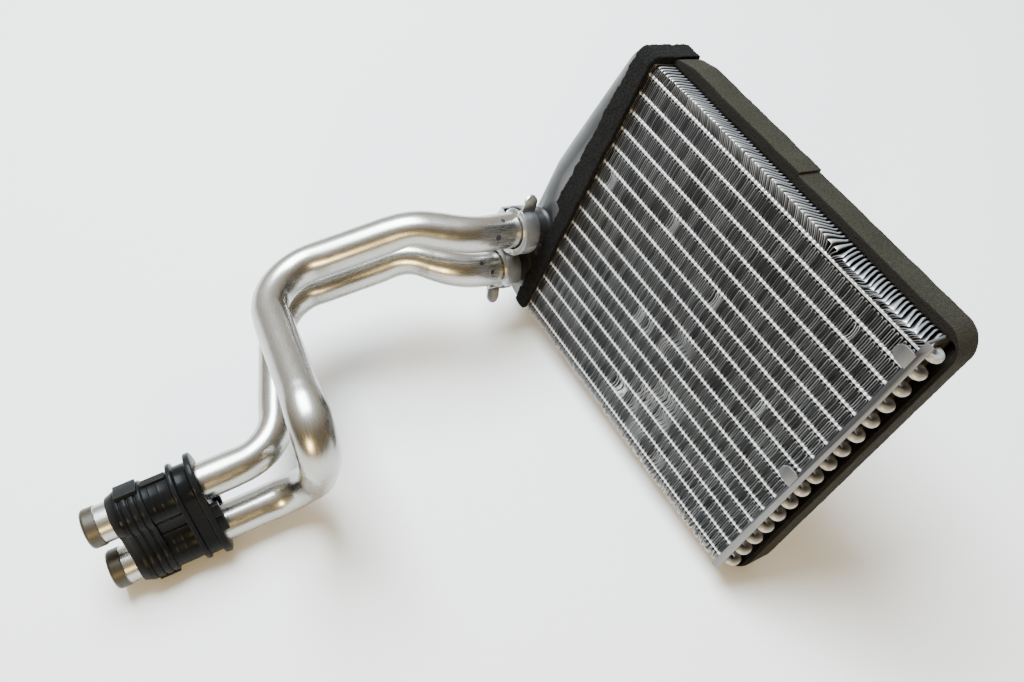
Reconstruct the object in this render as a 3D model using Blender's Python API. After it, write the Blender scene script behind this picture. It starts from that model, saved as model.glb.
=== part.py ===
"""Car heater core: hairpin tubes with flat legs and folded fin strips between them, two plates,
a tank, two bent pipes and a twin pipe connector, with foam seals stuck round it.

The core stands on the back edge of its long lower side and leans back. The connector at the
far end of the pipes rests on the same surface. Lengths are in metres, +Z is up, X runs along
the tubes from the tank to the return bends, and Y points to the back of the core.
"""

import math

import bmesh
import bpy
from mathutils import Matrix, Vector

MM = 0.001
CLEARANCE = 0.3 * MM

# Tubes and fins of the pack
TUBE_ROWS = 16
ROW_PITCH = 9.6 * MM
CORE_LENGTH = 165.4 * MM
CORE_DEPTH = 26.4 * MM
FIN_FOLDS = 40
FIN_THICKNESS = 0.35 * MM
OUTER_FIN_HEIGHT = 4.55 * MM

# Hairpin tubes: round in the return bend, pressed flat between the fins
TUBE_OD = 3.4 * MM
TUBE_WALL = 0.4 * MM
BEND_PITCH = 6.6 * MM
FLAT_THICKNESS = 1.7 * MM
FLAT_WIDTH = 4.4 * MM
NOSE_SETBACK = 0.6 * MM
LEG_IN_TANK = 2.6 * MM
LEG_PAST_PLATE = 0.9 * MM

# Plates at the two ends of the pack
HEADER_THICKNESS = 1.6 * MM
HEADER_LIP = 0.9 * MM
END_PLATE_THICKNESS = 1.2 * MM
END_FLANGE_WIDTH = 3.4 * MM
END_FLANGE_THICKNESS = 1.0 * MM
EAR_LENGTH = 7.0 * MM
EAR_WIDTH = 7.0 * MM
EAR_ROWS = (1.5, 9.5)

# Tank
TANK_WIDTH = 28.5 * MM
TANK_DEPTH = 27.6 * MM
TANK_WALL = 0.8 * MM
TANK_TOP_WIDTH = 15.5 * MM
TANK_TAPER_LENGTH = 76.0 * MM
TANK_END_RADIUS = 9.0 * MM
TANK_SIDE_ROUNDING = 0.8 * MM

# Pipes and their joints on the tank's front
PIPE_OD = 18.0 * MM
PIPE_WALL = 1.5 * MM
BEAD_RADIUS = 10.6 * MM
BEAD_LENGTH = 2.4 * MM
STUB_LENGTH = 15.4 * MM
STUB_FLANGE_RADIUS = 11.8 * MM
STUB_FLANGE_LENGTH = 3.6 * MM
SEAT_DEPTH = 2.5 * MM
SEAL_SECTION = 1.0 * MM
UPPER_JOINT_DROP = 109.8 * MM
JOINT_SPACING = 26.9 * MM

# Clips that hold the pipe beads on the stubs
CLIP_THICKNESS = 1.0 * MM
CLIP_LIP_RADIUS = 9.9 * MM
CLIP_OPENING = math.radians(70)
CLIP_TAIL_LENGTH = 9.0 * MM

# Pipe routes: bend radii, straight runs at each end, and free bend points
SMALL_BEND = 29.0 * MM
LARGE_BEND = 25.0 * MM
TIGHT_BEND = 15.4 * MM
UPPER_PIPE_FIRST_RUN = 28.0 * MM
LOWER_PIPE_FIRST_RUN = 21.6 * MM
UPPER_PIPE_LAST_RUN = 47.2 * MM
LOWER_PIPE_LAST_RUN = 36.5 * MM
UPPER_PIPE_BENDS = ((-31.5, -107.2, 81.2), (-50.4, -182.5, 68.2), (65.9, -196.6, 103.6))
LOWER_PIPE_BENDS = ((-38.5, -109.3, 51.7), (-53.7, -177.1, 41.9))

# Twin pipe connector
CONNECTOR_X = 22.9 * MM
CONNECTOR_Y = -247.5 * MM
CONNECTOR_YAW = math.radians(4.9)
CONNECTOR_ROLL = math.radians(26.3)
CONNECTOR_LENGTH = 40.8 * MM
CONNECTOR_PIPE_SPACING = 26.7 * MM
CONNECTOR_WALL = 1.5 * MM
FLANGE_END_RADIUS = 13.8 * MM
SECOND_LIP_RADIUS = 13.0 * MM
BAND_RADIUS = 11.9 * MM
PIPE_END_PAST_CONNECTOR = 12.0 * MM
LIP_WIDTH = 3.0 * MM
LIP_SLOPE = 1.2 * MM
GROOVE_RISE = 0.8 * MM
GROOVE_WIDTH = 5.2 * MM
SECOND_LIP_WIDTH = 1.8 * MM
SECOND_LIP_SLOPE = 0.8 * MM
BAND_LENGTH = 15.8 * MM
BAND_STEP = 0.4 * MM
END_CHAMFER = 4.0 * MM
BODY_WAIST = 0.72
BAND_WAIST = 0.84
LOCK_TAB_LENGTH = 10.0 * MM
LOCK_TAB_WIDTH = 9.0 * MM
LOCK_TAB_RISE = 1.2 * MM
LOCK_TAB_SETBACK = 5.0 * MM
LOCK_TAB_ROOT = 3.0 * MM
KEY_TAB_SIZE = 6.0 * MM

# Foam strips
EDGE_FOAM_THICKNESS = 4.7 * MM
EDGE_FOAM_WIDTH = 15.6 * MM
EDGE_FOAM_STRETCHED = 3.6 * MM
EDGE_FOAM_INNER_CORNER = 3.4 * MM
EDGE_FOAM_OUTER_CORNER = 10.5 * MM
EDGE_FOAM_JOINT_X = -1.0 * MM
TANK_FOAM_ON_TANK = 8.4 * MM
TANK_FOAM_ON_FINS = 1.6 * MM
TANK_FOAM_THICKNESS = 2.6 * MM
TANK_FOAM_NARROWED = 20.0 * MM

# The lean of the core
LEAN = math.radians(24.1)

# Sizes worked out from the values above
CORE_HEIGHT = (TUBE_ROWS - 1) * ROW_PITCH + FLAT_THICKNESS + 2 * OUTER_FIN_HEIGHT
PIPE_RADIUS = PIPE_OD / 2
TUBE_RADIUS = TUBE_OD / 2
PACK_END = CORE_LENGTH / 2
HEADER_NEAR = -PACK_END - CLEARANCE
HEADER_FAR = HEADER_NEAR - HEADER_THICKNESS
TANK_FACE = HEADER_FAR - CLEARANCE
END_PLATE_NEAR = PACK_END + CLEARANCE
END_PLATE_FAR = END_PLATE_NEAR + END_PLATE_THICKNESS
BEND_CENTRE = END_PLATE_FAR + LEG_PAST_PLATE
BEND_REACH = BEND_CENTRE + BEND_PITCH / 2 + TUBE_RADIUS
FRONT = -CORE_DEPTH / 2
BACK = CORE_DEPTH / 2
FRONT_LEG = FRONT + NOSE_SETBACK + FLAT_WIDTH / 2
REAR_LEG = FRONT_LEG + BEND_PITCH
TANK_CENTRE_X = TANK_FACE - TANK_WIDTH / 2
TANK_PAST_FINS = (TANK_DEPTH - CORE_DEPTH) / 2
HEADER_REACH = CORE_DEPTH / 2 + HEADER_LIP
JOINT_Y = FRONT - STUB_LENGTH
UPPER_JOINT_Z = CORE_HEIGHT / 2 - UPPER_JOINT_DROP
LOWER_JOINT_Z = UPPER_JOINT_Z - JOINT_SPACING
CORE_CENTRE = Vector((
    PACK_END,
    -17.4 * MM,
    (CORE_HEIGHT / 2 + CLEARANCE + EDGE_FOAM_THICKNESS) * math.cos(LEAN)
    + CORE_DEPTH / 2 * math.sin(LEAN),
))
CORE_MATRIX = Matrix.Translation(CORE_CENTRE) @ Matrix.Rotation(-LEAN, 4, "X")
CONNECTOR_CENTRE = Vector((
    CONNECTOR_X,
    CONNECTOR_Y,
    FLANGE_END_RADIUS + CONNECTOR_PIPE_SPACING / 2 * math.cos(CONNECTOR_ROLL),
))
CONNECTOR_MATRIX = (
    Matrix.Translation(CONNECTOR_CENTRE)
    @ Matrix.Rotation(-math.pi / 2 - CONNECTOR_YAW, 4, "Z")
    @ Matrix.Rotation(CONNECTOR_ROLL, 4, "X")
)

TUBE_SIDES = 8
TUBE_BORE_SIDES = 6
PIPE_SIDES = 12
PIPE_BORE_SIDES = 7
SEAL_TURN_SIDES = 12
SEAL_SECTION_SIDES = 4


def clear_scene():
    for old in list(bpy.data.objects):
        bpy.data.objects.remove(old, do_unlink=True)


def material(name, colour, roughness, metallic):
    made = bpy.data.materials.new(name)
    made.use_nodes = True
    shader = made.node_tree.nodes["Principled BSDF"]
    shader.inputs["Base Color"].default_value = (*colour, 1.0)
    shader.inputs["Roughness"].default_value = roughness
    shader.inputs["Metallic"].default_value = metallic
    return made


def empty(name, matrix, parent=None):
    frame = bpy.data.objects.new(name, None)
    bpy.context.collection.objects.link(frame)
    frame.parent = parent
    frame.matrix_local = matrix
    return frame


def solid(name, bm, finish, parent, smooth_angle=None):
    """Turn a bmesh into a named object with outward faces under its frame."""
    bmesh.ops.recalc_face_normals(bm, faces=bm.faces)
    mesh = bpy.data.meshes.new(name)
    bm.to_mesh(mesh)
    bm.free()
    if smooth_angle is not None:
        mesh.shade_smooth()
        mesh.set_sharp_from_angle(angle=smooth_angle)
    made = bpy.data.objects.new(name, mesh)
    made.data.materials.append(finish)
    bpy.context.collection.objects.link(made)
    made.parent = parent
    return made


def cutter(name, bm, parent):
    """A tool body for a Boolean: not part of the object."""
    made = solid(name, bm, bpy.data.materials["guide"], parent)
    made.hide_render = True
    made.display_type = "WIRE"
    return made


def boolean(target, tool, operation):
    modifier = target.modifiers.new(tool.name, "BOOLEAN")
    modifier.operation = operation
    modifier.solver = "EXACT"
    modifier.object = tool


def add_box(bm, low, high):
    corners = [
        bm.verts.new((x, y, z))
        for x in (low[0], high[0])
        for y in (low[1], high[1])
        for z in (low[2], high[2])
    ]
    for indices in ((0, 1, 3, 2), (4, 6, 7, 5), (0, 4, 5, 1), (2, 3, 7, 6), (0, 2, 6, 4), (1, 5, 7, 3)):
        bm.faces.new([corners[index] for index in indices])


def ring(bm, points):
    return [bm.verts.new(point) for point in points]


def skin(bm, first, second):
    """Join two rings with the same number of points."""
    count = len(first)
    for index in range(count):
        after = (index + 1) % count
        bm.faces.new((first[index], first[after], second[after], second[index]))


def loft(bm, sections):
    """Close a body through a row of matching sections."""
    rings = [ring(bm, points) for points in sections]
    for first, second in zip(rings, rings[1:]):
        skin(bm, first, second)
    bm.faces.new(rings[0])
    bm.faces.new(list(reversed(rings[-1])))
    return rings


def circle(centre, side, up, radius, count):
    return [
        centre
        + side * (radius * math.cos(2 * math.pi * (step + 0.5) / count))
        + up * (radius * math.sin(2 * math.pi * (step + 0.5) / count))
        for step in range(count)
    ]


def extrude_outline(bm, outline, axis, start, end):
    """Extrude an outline along one axis, given as pairs of the other two coordinates."""

    def place(pair, height):
        values = list(pair)
        values.insert(axis, height)
        return values

    loft(bm, [[place(pair, start) for pair in outline], [place(pair, end) for pair in outline]])


def stadium(centre, side, up, half_width, half_thickness, count):
    """A flat section with round edges, or a circle where both halves are equal."""
    points = []
    for step in range(count):
        angle = 2 * math.pi * (step + 0.5) / count
        straight = math.copysign(half_width - half_thickness, math.cos(angle))
        across = straight + half_thickness * math.cos(angle)
        points.append(centre + side * across + up * (half_thickness * math.sin(angle)))
    return points


def bent_path(corners, radii, steps):
    """Centre line of straight runs and round bends through the corner points."""
    points = [corners[0]]
    for before, corner, after, radius in zip(corners, corners[1:], corners[2:], radii):
        arriving = (before - corner).normalized()
        leaving = (after - corner).normalized()
        opening = arriving.angle(leaving)
        setback = radius / math.tan(opening / 2)
        centre = corner + (arriving + leaving).normalized() * (radius / math.sin(opening / 2))
        start = corner + arriving * setback - centre
        end = corner + leaving * setback - centre
        sweep = math.pi - opening
        for step in range(steps + 1):
            share = step / steps
            blend = math.sin((1 - share) * sweep) * start + math.sin(share * sweep) * end
            points.append(centre + blend / math.sin(sweep))
    points.append(corners[-1])
    return points


def path_frames(points, first_up):
    """A side and an up direction at each point, turning no more than the path does."""
    tangents = []
    for index in range(len(points)):
        ahead = points[min(index + 1, len(points) - 1)]
        behind = points[max(index - 1, 0)]
        arriving = (points[index] - behind).normalized()
        leaving = (ahead - points[index]).normalized()
        tangents.append((arriving + leaving).normalized())
    frames = []
    up = first_up
    for tangent in tangents:
        up = (up - tangent * up.dot(tangent)).normalized()
        frames.append((tangent.cross(up), up))
    return frames


def join_rings(bm, outer, inner):
    """Fill the ring-shaped face between two circles that may have different numbers of points."""
    outer_count = len(outer)
    inner_count = len(inner)
    first = 0
    second = 0
    while first < outer_count or second < inner_count:
        outer_next = (first + 1.5) / outer_count
        inner_next = (second + 1.5) / inner_count
        if second == inner_count or (first < outer_count and outer_next <= inner_next):
            after = outer[(first + 1) % outer_count]
            bm.faces.new((outer[first % outer_count], after, inner[second % inner_count]))
            first += 1
        else:
            after = inner[(second + 1) % inner_count]
            bm.faces.new((outer[first % outer_count], after, inner[second % inner_count]))
            second += 1


def tube_wall(bm, outer_sections, inner_sections):
    """Close a tube wall between two rows of sections, open at both ends."""
    ends = []
    for sections in (outer_sections, inner_sections):
        rings = [ring(bm, points) for points in sections]
        for first, second in zip(rings, rings[1:]):
            skin(bm, first, second)
        ends.append((rings[0], rings[-1]))
    for outer_end, inner_end in zip(*ends):
        join_rings(bm, outer_end, inner_end)


def row_height(row):
    """Height of a tube row above the middle of the pack, with row 1 at the top."""
    return ((TUBE_ROWS + 1) / 2 - row) * ROW_PITCH


def leg_slots(name, start, end, parent):
    """Slots for all the flat tube legs, as one cutter."""
    bm = bmesh.new()
    half_width = FLAT_WIDTH / 2 + CLEARANCE
    half_thickness = FLAT_THICKNESS / 2 + CLEARANCE
    for row in range(1, TUBE_ROWS + 1):
        for depth in (FRONT_LEG, REAR_LEG):
            loft(bm, [
                stadium(
                    Vector((x, depth, row_height(row))),
                    Vector((0, 1, 0)),
                    Vector((0, 0, 1)),
                    half_width,
                    half_thickness,
                    TUBE_SIDES,
                )
                for x in (start, end)
            ])
    return cutter(name, bm, parent)


def make_fin_strips(finish, core):
    """One folded strip above, below and between the tubes: a zigzag as deep as the pack."""
    half_tube = FLAT_THICKNESS / 2 + CLEARANCE
    run = CORE_LENGTH / FIN_FOLDS
    for number in range(1, TUBE_ROWS + 2):
        high = CORE_HEIGHT / 2 if number == 1 else row_height(number - 1) - half_tube
        low = -CORE_HEIGHT / 2 if number > TUBE_ROWS else row_height(number) + half_tube
        slope = math.atan2(high - low, run)
        half_wall = FIN_THICKNESS / math.cos(slope) / 2
        sections = []
        for fold in range(FIN_FOLDS + 1):
            x = -CORE_LENGTH / 2 + fold * run
            middle = high - half_wall if fold % 2 else low + half_wall
            sections.append([
                (x, FRONT, middle - half_wall),
                (x, BACK, middle - half_wall),
                (x, BACK, middle + half_wall),
                (x, FRONT, middle + half_wall),
            ])
        bm = bmesh.new()
        loft(bm, sections)
        solid(f"fin_strip_{number:02d}", bm, finish, core)


def make_header_plate(finish, core):
    bm = bmesh.new()
    half = CORE_HEIGHT / 2
    add_box(bm, (HEADER_FAR, -HEADER_REACH, -half), (HEADER_NEAR, HEADER_REACH, half))
    plate = solid("header_plate", bm, finish, core)
    boolean(plate, leg_slots("header_slots", HEADER_FAR - MM, HEADER_NEAR + MM, core), "DIFFERENCE")


def ear_outline(middle):
    """A tab with a round end, in X and Z, which reaches over the front of the pack."""
    half = EAR_WIDTH / 2
    tip = END_PLATE_NEAR - EAR_LENGTH + half
    outline = [(END_PLATE_NEAR + END_FLANGE_THICKNESS, middle + half)]
    steps = 8
    for step in range(steps + 1):
        angle = math.pi / 2 + math.pi * step / steps
        outline.append((tip + half * math.cos(angle), middle + half * math.sin(angle)))
    outline.append((END_PLATE_NEAR + END_FLANGE_THICKNESS, middle - half))
    return outline


def make_end_plate(finish, core):
    """A shallow channel whose flanges point away from the pack, with two ears on its front."""
    lip = CORE_DEPTH / 2 + CLEARANCE + END_FLANGE_THICKNESS
    inner = lip - END_FLANGE_THICKNESS
    flange_end = END_PLATE_NEAR + END_FLANGE_WIDTH
    channel = (
        (END_PLATE_NEAR, -lip),
        (flange_end, -lip),
        (flange_end, -inner),
        (END_PLATE_FAR, -inner),
        (END_PLATE_FAR, inner),
        (flange_end, inner),
        (flange_end, lip),
        (END_PLATE_NEAR, lip),
    )
    bm = bmesh.new()
    extrude_outline(bm, channel, 2, -CORE_HEIGHT / 2, CORE_HEIGHT / 2)
    plate = solid("end_plate", bm, finish, core)
    for number, row in enumerate(EAR_ROWS, start=1):
        bm = bmesh.new()
        extrude_outline(bm, ear_outline(row_height(row)), 1, -lip, -inner)
        boolean(plate, cutter(f"ear_{number}", bm, core), "UNION")
    slots = leg_slots("end_plate_slots", END_PLATE_NEAR - MM, END_PLATE_FAR + MM, core)
    boolean(plate, slots, "DIFFERENCE")


def hairpin_sections(height, wall, sides):
    """Sections of one hairpin: a flat leg, the round return bend, and the other flat leg."""
    half_width = FLAT_WIDTH / 2 - wall
    half_thickness = FLAT_THICKNESS / 2 - wall
    radius = TUBE_RADIUS - wall
    up = Vector((0, 0, 1))
    steps = 4
    sections = []
    for x in (TANK_FACE - LEG_IN_TANK, END_PLATE_FAR + CLEARANCE):
        centre = Vector((x, FRONT_LEG, height))
        sections.append(stadium(centre, Vector((0, 1, 0)), up, half_width, half_thickness, sides))
    for step in range(steps + 1):
        angle = -math.pi / 2 + math.pi * step / steps
        outward = Vector((math.cos(angle), math.sin(angle), 0))
        centre = Vector((BEND_CENTRE, (FRONT_LEG + REAR_LEG) / 2, height)) + outward * (BEND_PITCH / 2)
        sections.append(stadium(centre, -outward, up, radius, radius, sides))
    for x in (END_PLATE_FAR + CLEARANCE, TANK_FACE - LEG_IN_TANK):
        centre = Vector((x, REAR_LEG, height))
        sections.append(stadium(centre, Vector((0, -1, 0)), up, half_width, half_thickness, sides))
    return sections


def make_hairpins(finish, core):
    """One U-shaped tube for each row, from the tank round its return bend and back."""
    for row in range(1, TUBE_ROWS + 1):
        height = row_height(row)
        bm = bmesh.new()
        outer = hairpin_sections(height, 0.0, TUBE_SIDES)
        inner = hairpin_sections(height, TUBE_WALL, TUBE_BORE_SIDES)
        tube_wall(bm, outer, inner)
        solid(f"hairpin_tube_{row:02d}", bm, finish, core, math.radians(50))


def tank_width(height):
    """The tank's reach from the header plate, which tapers towards its top."""
    taper = max(0.0, (height - CORE_HEIGHT / 2) / TANK_TAPER_LENGTH + 1)
    return TANK_WIDTH - (TANK_WIDTH - TANK_TOP_WIDTH) * taper


def tank_section(height, rounding, wall):
    """Round-backed outline of the tank in plan, from its open side at the header plate."""
    width = tank_width(height) - TANK_END_RADIUS * rounding - wall
    half_depth = TANK_DEPTH / 2 - TANK_SIDE_ROUNDING * rounding - wall
    round_part = min(half_depth, width)
    steps = 8
    outline = [(TANK_FACE, -half_depth, height)]
    for step in range(steps + 1):
        angle = -math.pi / 2 - math.pi * step / steps
        outline.append((
            TANK_FACE - (width - round_part) + round_part * math.cos(angle),
            half_depth * math.sin(angle),
            height,
        ))
    outline.append((TANK_FACE, half_depth, height))
    return outline


def tank_levels(wall):
    """Height of each section of the tank, with its share of the round ends' inset."""
    steps = 3
    half = CORE_HEIGHT / 2 - wall
    rows = []
    for step in range(steps + 1):
        angle = math.pi / 2 * step / steps
        rows.append((half - TANK_END_RADIUS * (1 - math.sin(angle)), 1 - math.cos(angle)))
    taper_start = (CORE_HEIGHT / 2 - TANK_TAPER_LENGTH, 0.0)
    return [(-height, rounding) for height, rounding in reversed(rows)] + [taper_start] + rows


def stub_tool(name, height, radius_steps, core):
    """A turned body on a joint's axis, from pairs of distance out from the tank and radius."""
    bm = bmesh.new()
    sections = [
        circle(
            Vector((TANK_CENTRE_X, FRONT - distance, height)),
            Vector((1, 0, 0)),
            Vector((0, 0, 1)),
            radius,
            PIPE_SIDES,
        )
        for distance, radius in radius_steps
    ]
    loft(bm, sections)
    return cutter(name, bm, core)


def make_tank(finish, core):
    """An open-sided shell with two flanged stubs on its front."""
    bm = bmesh.new()
    outer = [ring(bm, tank_section(height, share, 0.0)) for height, share in tank_levels(0.0)]
    inner = [ring(bm, tank_section(height, share, TANK_WALL)) for height, share in tank_levels(TANK_WALL)]
    for rings in (outer, inner):
        for first, second in zip(rings, rings[1:]):
            for index in range(len(first) - 1):
                bm.faces.new((first[index], first[index + 1], second[index + 1], second[index]))
        bm.faces.new(rings[0])
        bm.faces.new(rings[-1])
    rims = []
    for rings in (outer, inner):
        left = [loop[0] for loop in rings]
        right = [loop[-1] for loop in rings]
        rims.append(left + list(reversed(right)))
    skin(bm, rims[0], rims[1])
    tank = solid("tank", bm, finish, core, math.radians(35))

    inside = TANK_PAST_FINS - 2 * TANK_WALL
    bore = PIPE_RADIUS - PIPE_WALL
    flange_start = STUB_LENGTH - STUB_FLANGE_LENGTH
    body = (
        (TANK_PAST_FINS - TANK_WALL / 2, PIPE_RADIUS),
        (flange_start, PIPE_RADIUS),
        (flange_start, STUB_FLANGE_RADIUS),
        (STUB_LENGTH, STUB_FLANGE_RADIUS),
    )
    hollow = (
        (inside, bore),
        (STUB_LENGTH - SEAT_DEPTH, bore),
        (STUB_LENGTH - SEAT_DEPTH, BEAD_RADIUS),
        (STUB_LENGTH + MM, BEAD_RADIUS),
    )
    for label, height in (("upper", UPPER_JOINT_Z), ("lower", LOWER_JOINT_Z)):
        boolean(tank, stub_tool(f"stub_{label}", height, body, core), "UNION")
        boolean(tank, stub_tool(f"stub_bore_{label}", height, hollow, core), "DIFFERENCE")


def make_joint_seal(name, height, finish, core):
    """A round rubber ring in the seat of a stub."""
    middle = Vector((TANK_CENTRE_X, JOINT_Y + SEAT_DEPTH / 2, height))
    big = BEAD_RADIUS - CLEARANCE - SEAL_SECTION
    rings = []
    bm = bmesh.new()
    for step in range(SEAL_TURN_SIDES):
        angle = 2 * math.pi * step / SEAL_TURN_SIDES
        outward = Vector((math.cos(angle), 0, math.sin(angle)))
        centre = middle + outward * big
        points = circle(centre, outward, Vector((0, 1, 0)), SEAL_SECTION, SEAL_SECTION_SIDES)
        rings.append(ring(bm, points))
    for index in range(SEAL_TURN_SIDES):
        skin(bm, rings[index - 1], rings[index])
    solid(name, bm, finish, core, math.radians(70))


def make_clip(name, height, opening_at, finish, core):
    """A channel-section spring clip round a stub flange and a pipe bead, with a bent tail."""
    inner = STUB_FLANGE_RADIUS + CLEARANCE
    outer = inner + CLIP_THICKNESS
    near = JOINT_Y + STUB_FLANGE_LENGTH + CLEARANCE
    far = JOINT_Y - BEAD_LENGTH - 2 * CLEARANCE
    section = (
        (CLIP_LIP_RADIUS, near),
        (inner, near),
        (inner, far),
        (CLIP_LIP_RADIUS, far),
        (CLIP_LIP_RADIUS, far - CLIP_THICKNESS),
        (outer, far - CLIP_THICKNESS),
        (outer, near + CLIP_THICKNESS),
        (CLIP_LIP_RADIUS, near + CLIP_THICKNESS),
    )
    bm = bmesh.new()
    steps = 14
    sweep = 2 * math.pi - CLIP_OPENING
    sections = []
    for step in range(steps + 1):
        angle = opening_at + CLIP_OPENING / 2 + sweep * step / steps
        sections.append([
            (TANK_CENTRE_X + radius * math.cos(angle), y, height + radius * math.sin(angle))
            for radius, y in section
        ])
    loft(bm, sections)
    clip = solid(name, bm, finish, core, math.radians(40))

    # The tail stands out from the band beside the opening
    angle = opening_at - CLIP_OPENING / 2 - CLIP_THICKNESS / outer
    outward = Vector((math.cos(angle), 0, math.sin(angle)))
    along = Vector((-outward.z, 0, outward.x))
    width = Vector((0, near - far + CLIP_THICKNESS, 0))
    root = Vector((TANK_CENTRE_X, far - CLIP_THICKNESS / 2, height)) + outward * (inner + CLIP_THICKNESS / 2)
    tip = root + outward * CLIP_TAIL_LENGTH + along * (CLIP_TAIL_LENGTH / 3)
    bm = bmesh.new()
    thick = along * CLIP_THICKNESS
    loft(bm, [
        [root, root + width, root + width - thick, root - thick],
        [tip, tip + width, tip + width - thick, tip - thick],
    ])
    boolean(clip, cutter(name + "_tail", bm, core), "UNION")


def make_pipe(name, height, first_run, bends, radii, connector_side, last_run, finish, root):
    """A bent pipe from its bead at the tank to its open end past the connector."""
    start = CORE_MATRIX @ Vector((TANK_CENTRE_X, JOINT_Y - CLEARANCE, height))
    forward = (CORE_MATRIX.to_3x3() @ Vector((0, -1, 0))).normalized()
    across = connector_side * CONNECTOR_PIPE_SPACING / 2
    past = CONNECTOR_LENGTH + PIPE_END_PAST_CONNECTOR
    corners = [start, start + forward * first_run]
    corners += [Vector(point) * MM for point in bends]
    corners += [CONNECTOR_MATRIX @ Vector((x, 0, across)) for x in (-last_run, past)]

    neck = [
        (BEAD_LENGTH, BEAD_RADIUS),
        (BEAD_LENGTH + CLEARANCE / 3, PIPE_RADIUS + CLEARANCE),
        (BEAD_LENGTH + 3 * MM, PIPE_RADIUS),
    ]
    path = bent_path(corners, radii, 4)
    points = [path[0]] + [start + forward * distance for distance, radius in neck] + path[1:]
    outer = [BEAD_RADIUS] + [radius for distance, radius in neck] + [PIPE_RADIUS] * (len(path) - 1)
    bore = PIPE_RADIUS - PIPE_WALL
    frames = path_frames(points, Vector((0, 0, 1)))
    outer_sections = [
        circle(point, side, up, radius, PIPE_SIDES)
        for point, (side, up), radius in zip(points, frames, outer)
    ]
    inner_sections = [
        circle(point, side, up, bore, PIPE_BORE_SIDES)
        for point, (side, up) in zip(points, frames)
    ]
    bm = bmesh.new()
    tube_wall(bm, outer_sections, inner_sections)
    solid(name, bm, finish, root, math.radians(50))


def twin_outline(x, radius, waist):
    """Outline round two bores: two round ends joined by a waist, at one place on the axis."""
    half = CONNECTOR_PIPE_SPACING / 2
    steps = 10
    start = math.asin(min(waist / radius, 1.0))
    points = []
    for end in (1, -1):
        for step in range(steps + 1):
            angle = start + (2 * math.pi - 2 * start) * step / steps
            inward = -end * radius * math.cos(angle)
            points.append((x, end * radius * math.sin(angle), end * half + inward))
    return points


def make_connector(finish, connector):
    """One moulding: two lips with a groove, a waisted body, and a band with two lock tabs."""
    body_radius = PIPE_RADIUS + CLEARANCE + CONNECTOR_WALL
    groove = body_radius + GROOVE_RISE
    lip = FLANGE_END_RADIUS
    groove_start = LIP_WIDTH + LIP_SLOPE
    groove_end = groove_start + GROOVE_WIDTH
    second_start = groove_end + SECOND_LIP_SLOPE
    second_end = second_start + SECOND_LIP_WIDTH
    band_start = CONNECTOR_LENGTH - BAND_LENGTH
    profile = (
        (0.0, lip - LIP_SLOPE, 1.0),
        (LIP_SLOPE, lip, 1.0),
        (LIP_WIDTH, lip, 1.0),
        (groove_start, groove, 1.0),
        (groove_end, groove, 1.0),
        (second_start, SECOND_LIP_RADIUS, 1.0),
        (second_end, SECOND_LIP_RADIUS, 1.0),
        (second_end + SECOND_LIP_SLOPE, body_radius, BODY_WAIST),
        (band_start - BAND_STEP, body_radius, BODY_WAIST),
        (band_start, BAND_RADIUS, BAND_WAIST),
        (CONNECTOR_LENGTH - END_CHAMFER, BAND_RADIUS, BAND_WAIST),
        (CONNECTOR_LENGTH, body_radius - BAND_STEP, BAND_WAIST),
    )
    bm = bmesh.new()
    loft(bm, [twin_outline(x, radius, radius * waist) for x, radius, waist in profile])
    body = solid("pipe_connector", bm, finish, connector, math.radians(35))

    # Lock tabs on the two round ends, and a square key on the pipe side
    far = CONNECTOR_PIPE_SPACING / 2 + BAND_RADIUS
    tab_start = CONNECTOR_LENGTH - LOCK_TAB_LENGTH - LOCK_TAB_SETBACK
    half_tab = LOCK_TAB_WIDTH / 2
    for label, end in (("top", 1), ("bottom", -1)):
        bm = bmesh.new()
        low, high = sorted((end * (far - LOCK_TAB_ROOT), end * (far + LOCK_TAB_RISE)))
        add_box(bm, (tab_start, -half_tab, low), (tab_start + LOCK_TAB_LENGTH, half_tab, high))
        boolean(body, cutter(f"lock_tab_{label}", bm, connector), "UNION")
    bm = bmesh.new()
    key = KEY_TAB_SIZE
    add_box(bm, (-key / 2, -lip + key / 4, -key), (key / 8, -lip + key, key / 2))
    boolean(body, cutter("key_tab", bm, connector), "UNION")

    for label, end in (("top", 1), ("bottom", -1)):
        bm = bmesh.new()
        centre = end * CONNECTOR_PIPE_SPACING / 2
        loft(bm, [
            circle(
                Vector((x, 0, centre)),
                Vector((0, 1, 0)),
                Vector((0, 0, 1)),
                PIPE_RADIUS + CLEARANCE,
                PIPE_SIDES,
            )
            for x in (-MM, CONNECTOR_LENGTH + MM)
        ])
        boolean(body, cutter(f"connector_bore_{label}", bm, connector), "DIFFERENCE")


def wrapped_run(top, end, radius):
    """One side of the wrapped strip in X and Z: along the top, past the bends and back below."""
    steps = 4
    run = [(EDGE_FOAM_JOINT_X, top)]
    for corner, start_angle in ((top - radius, math.pi / 2), (radius - top, 0.0)):
        for step in range(steps + 1):
            angle = start_angle - math.pi / 2 * step / steps
            run.append((end - radius + radius * math.cos(angle), corner + radius * math.sin(angle)))
    run.append((HEADER_NEAR, -top))
    return run


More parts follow.
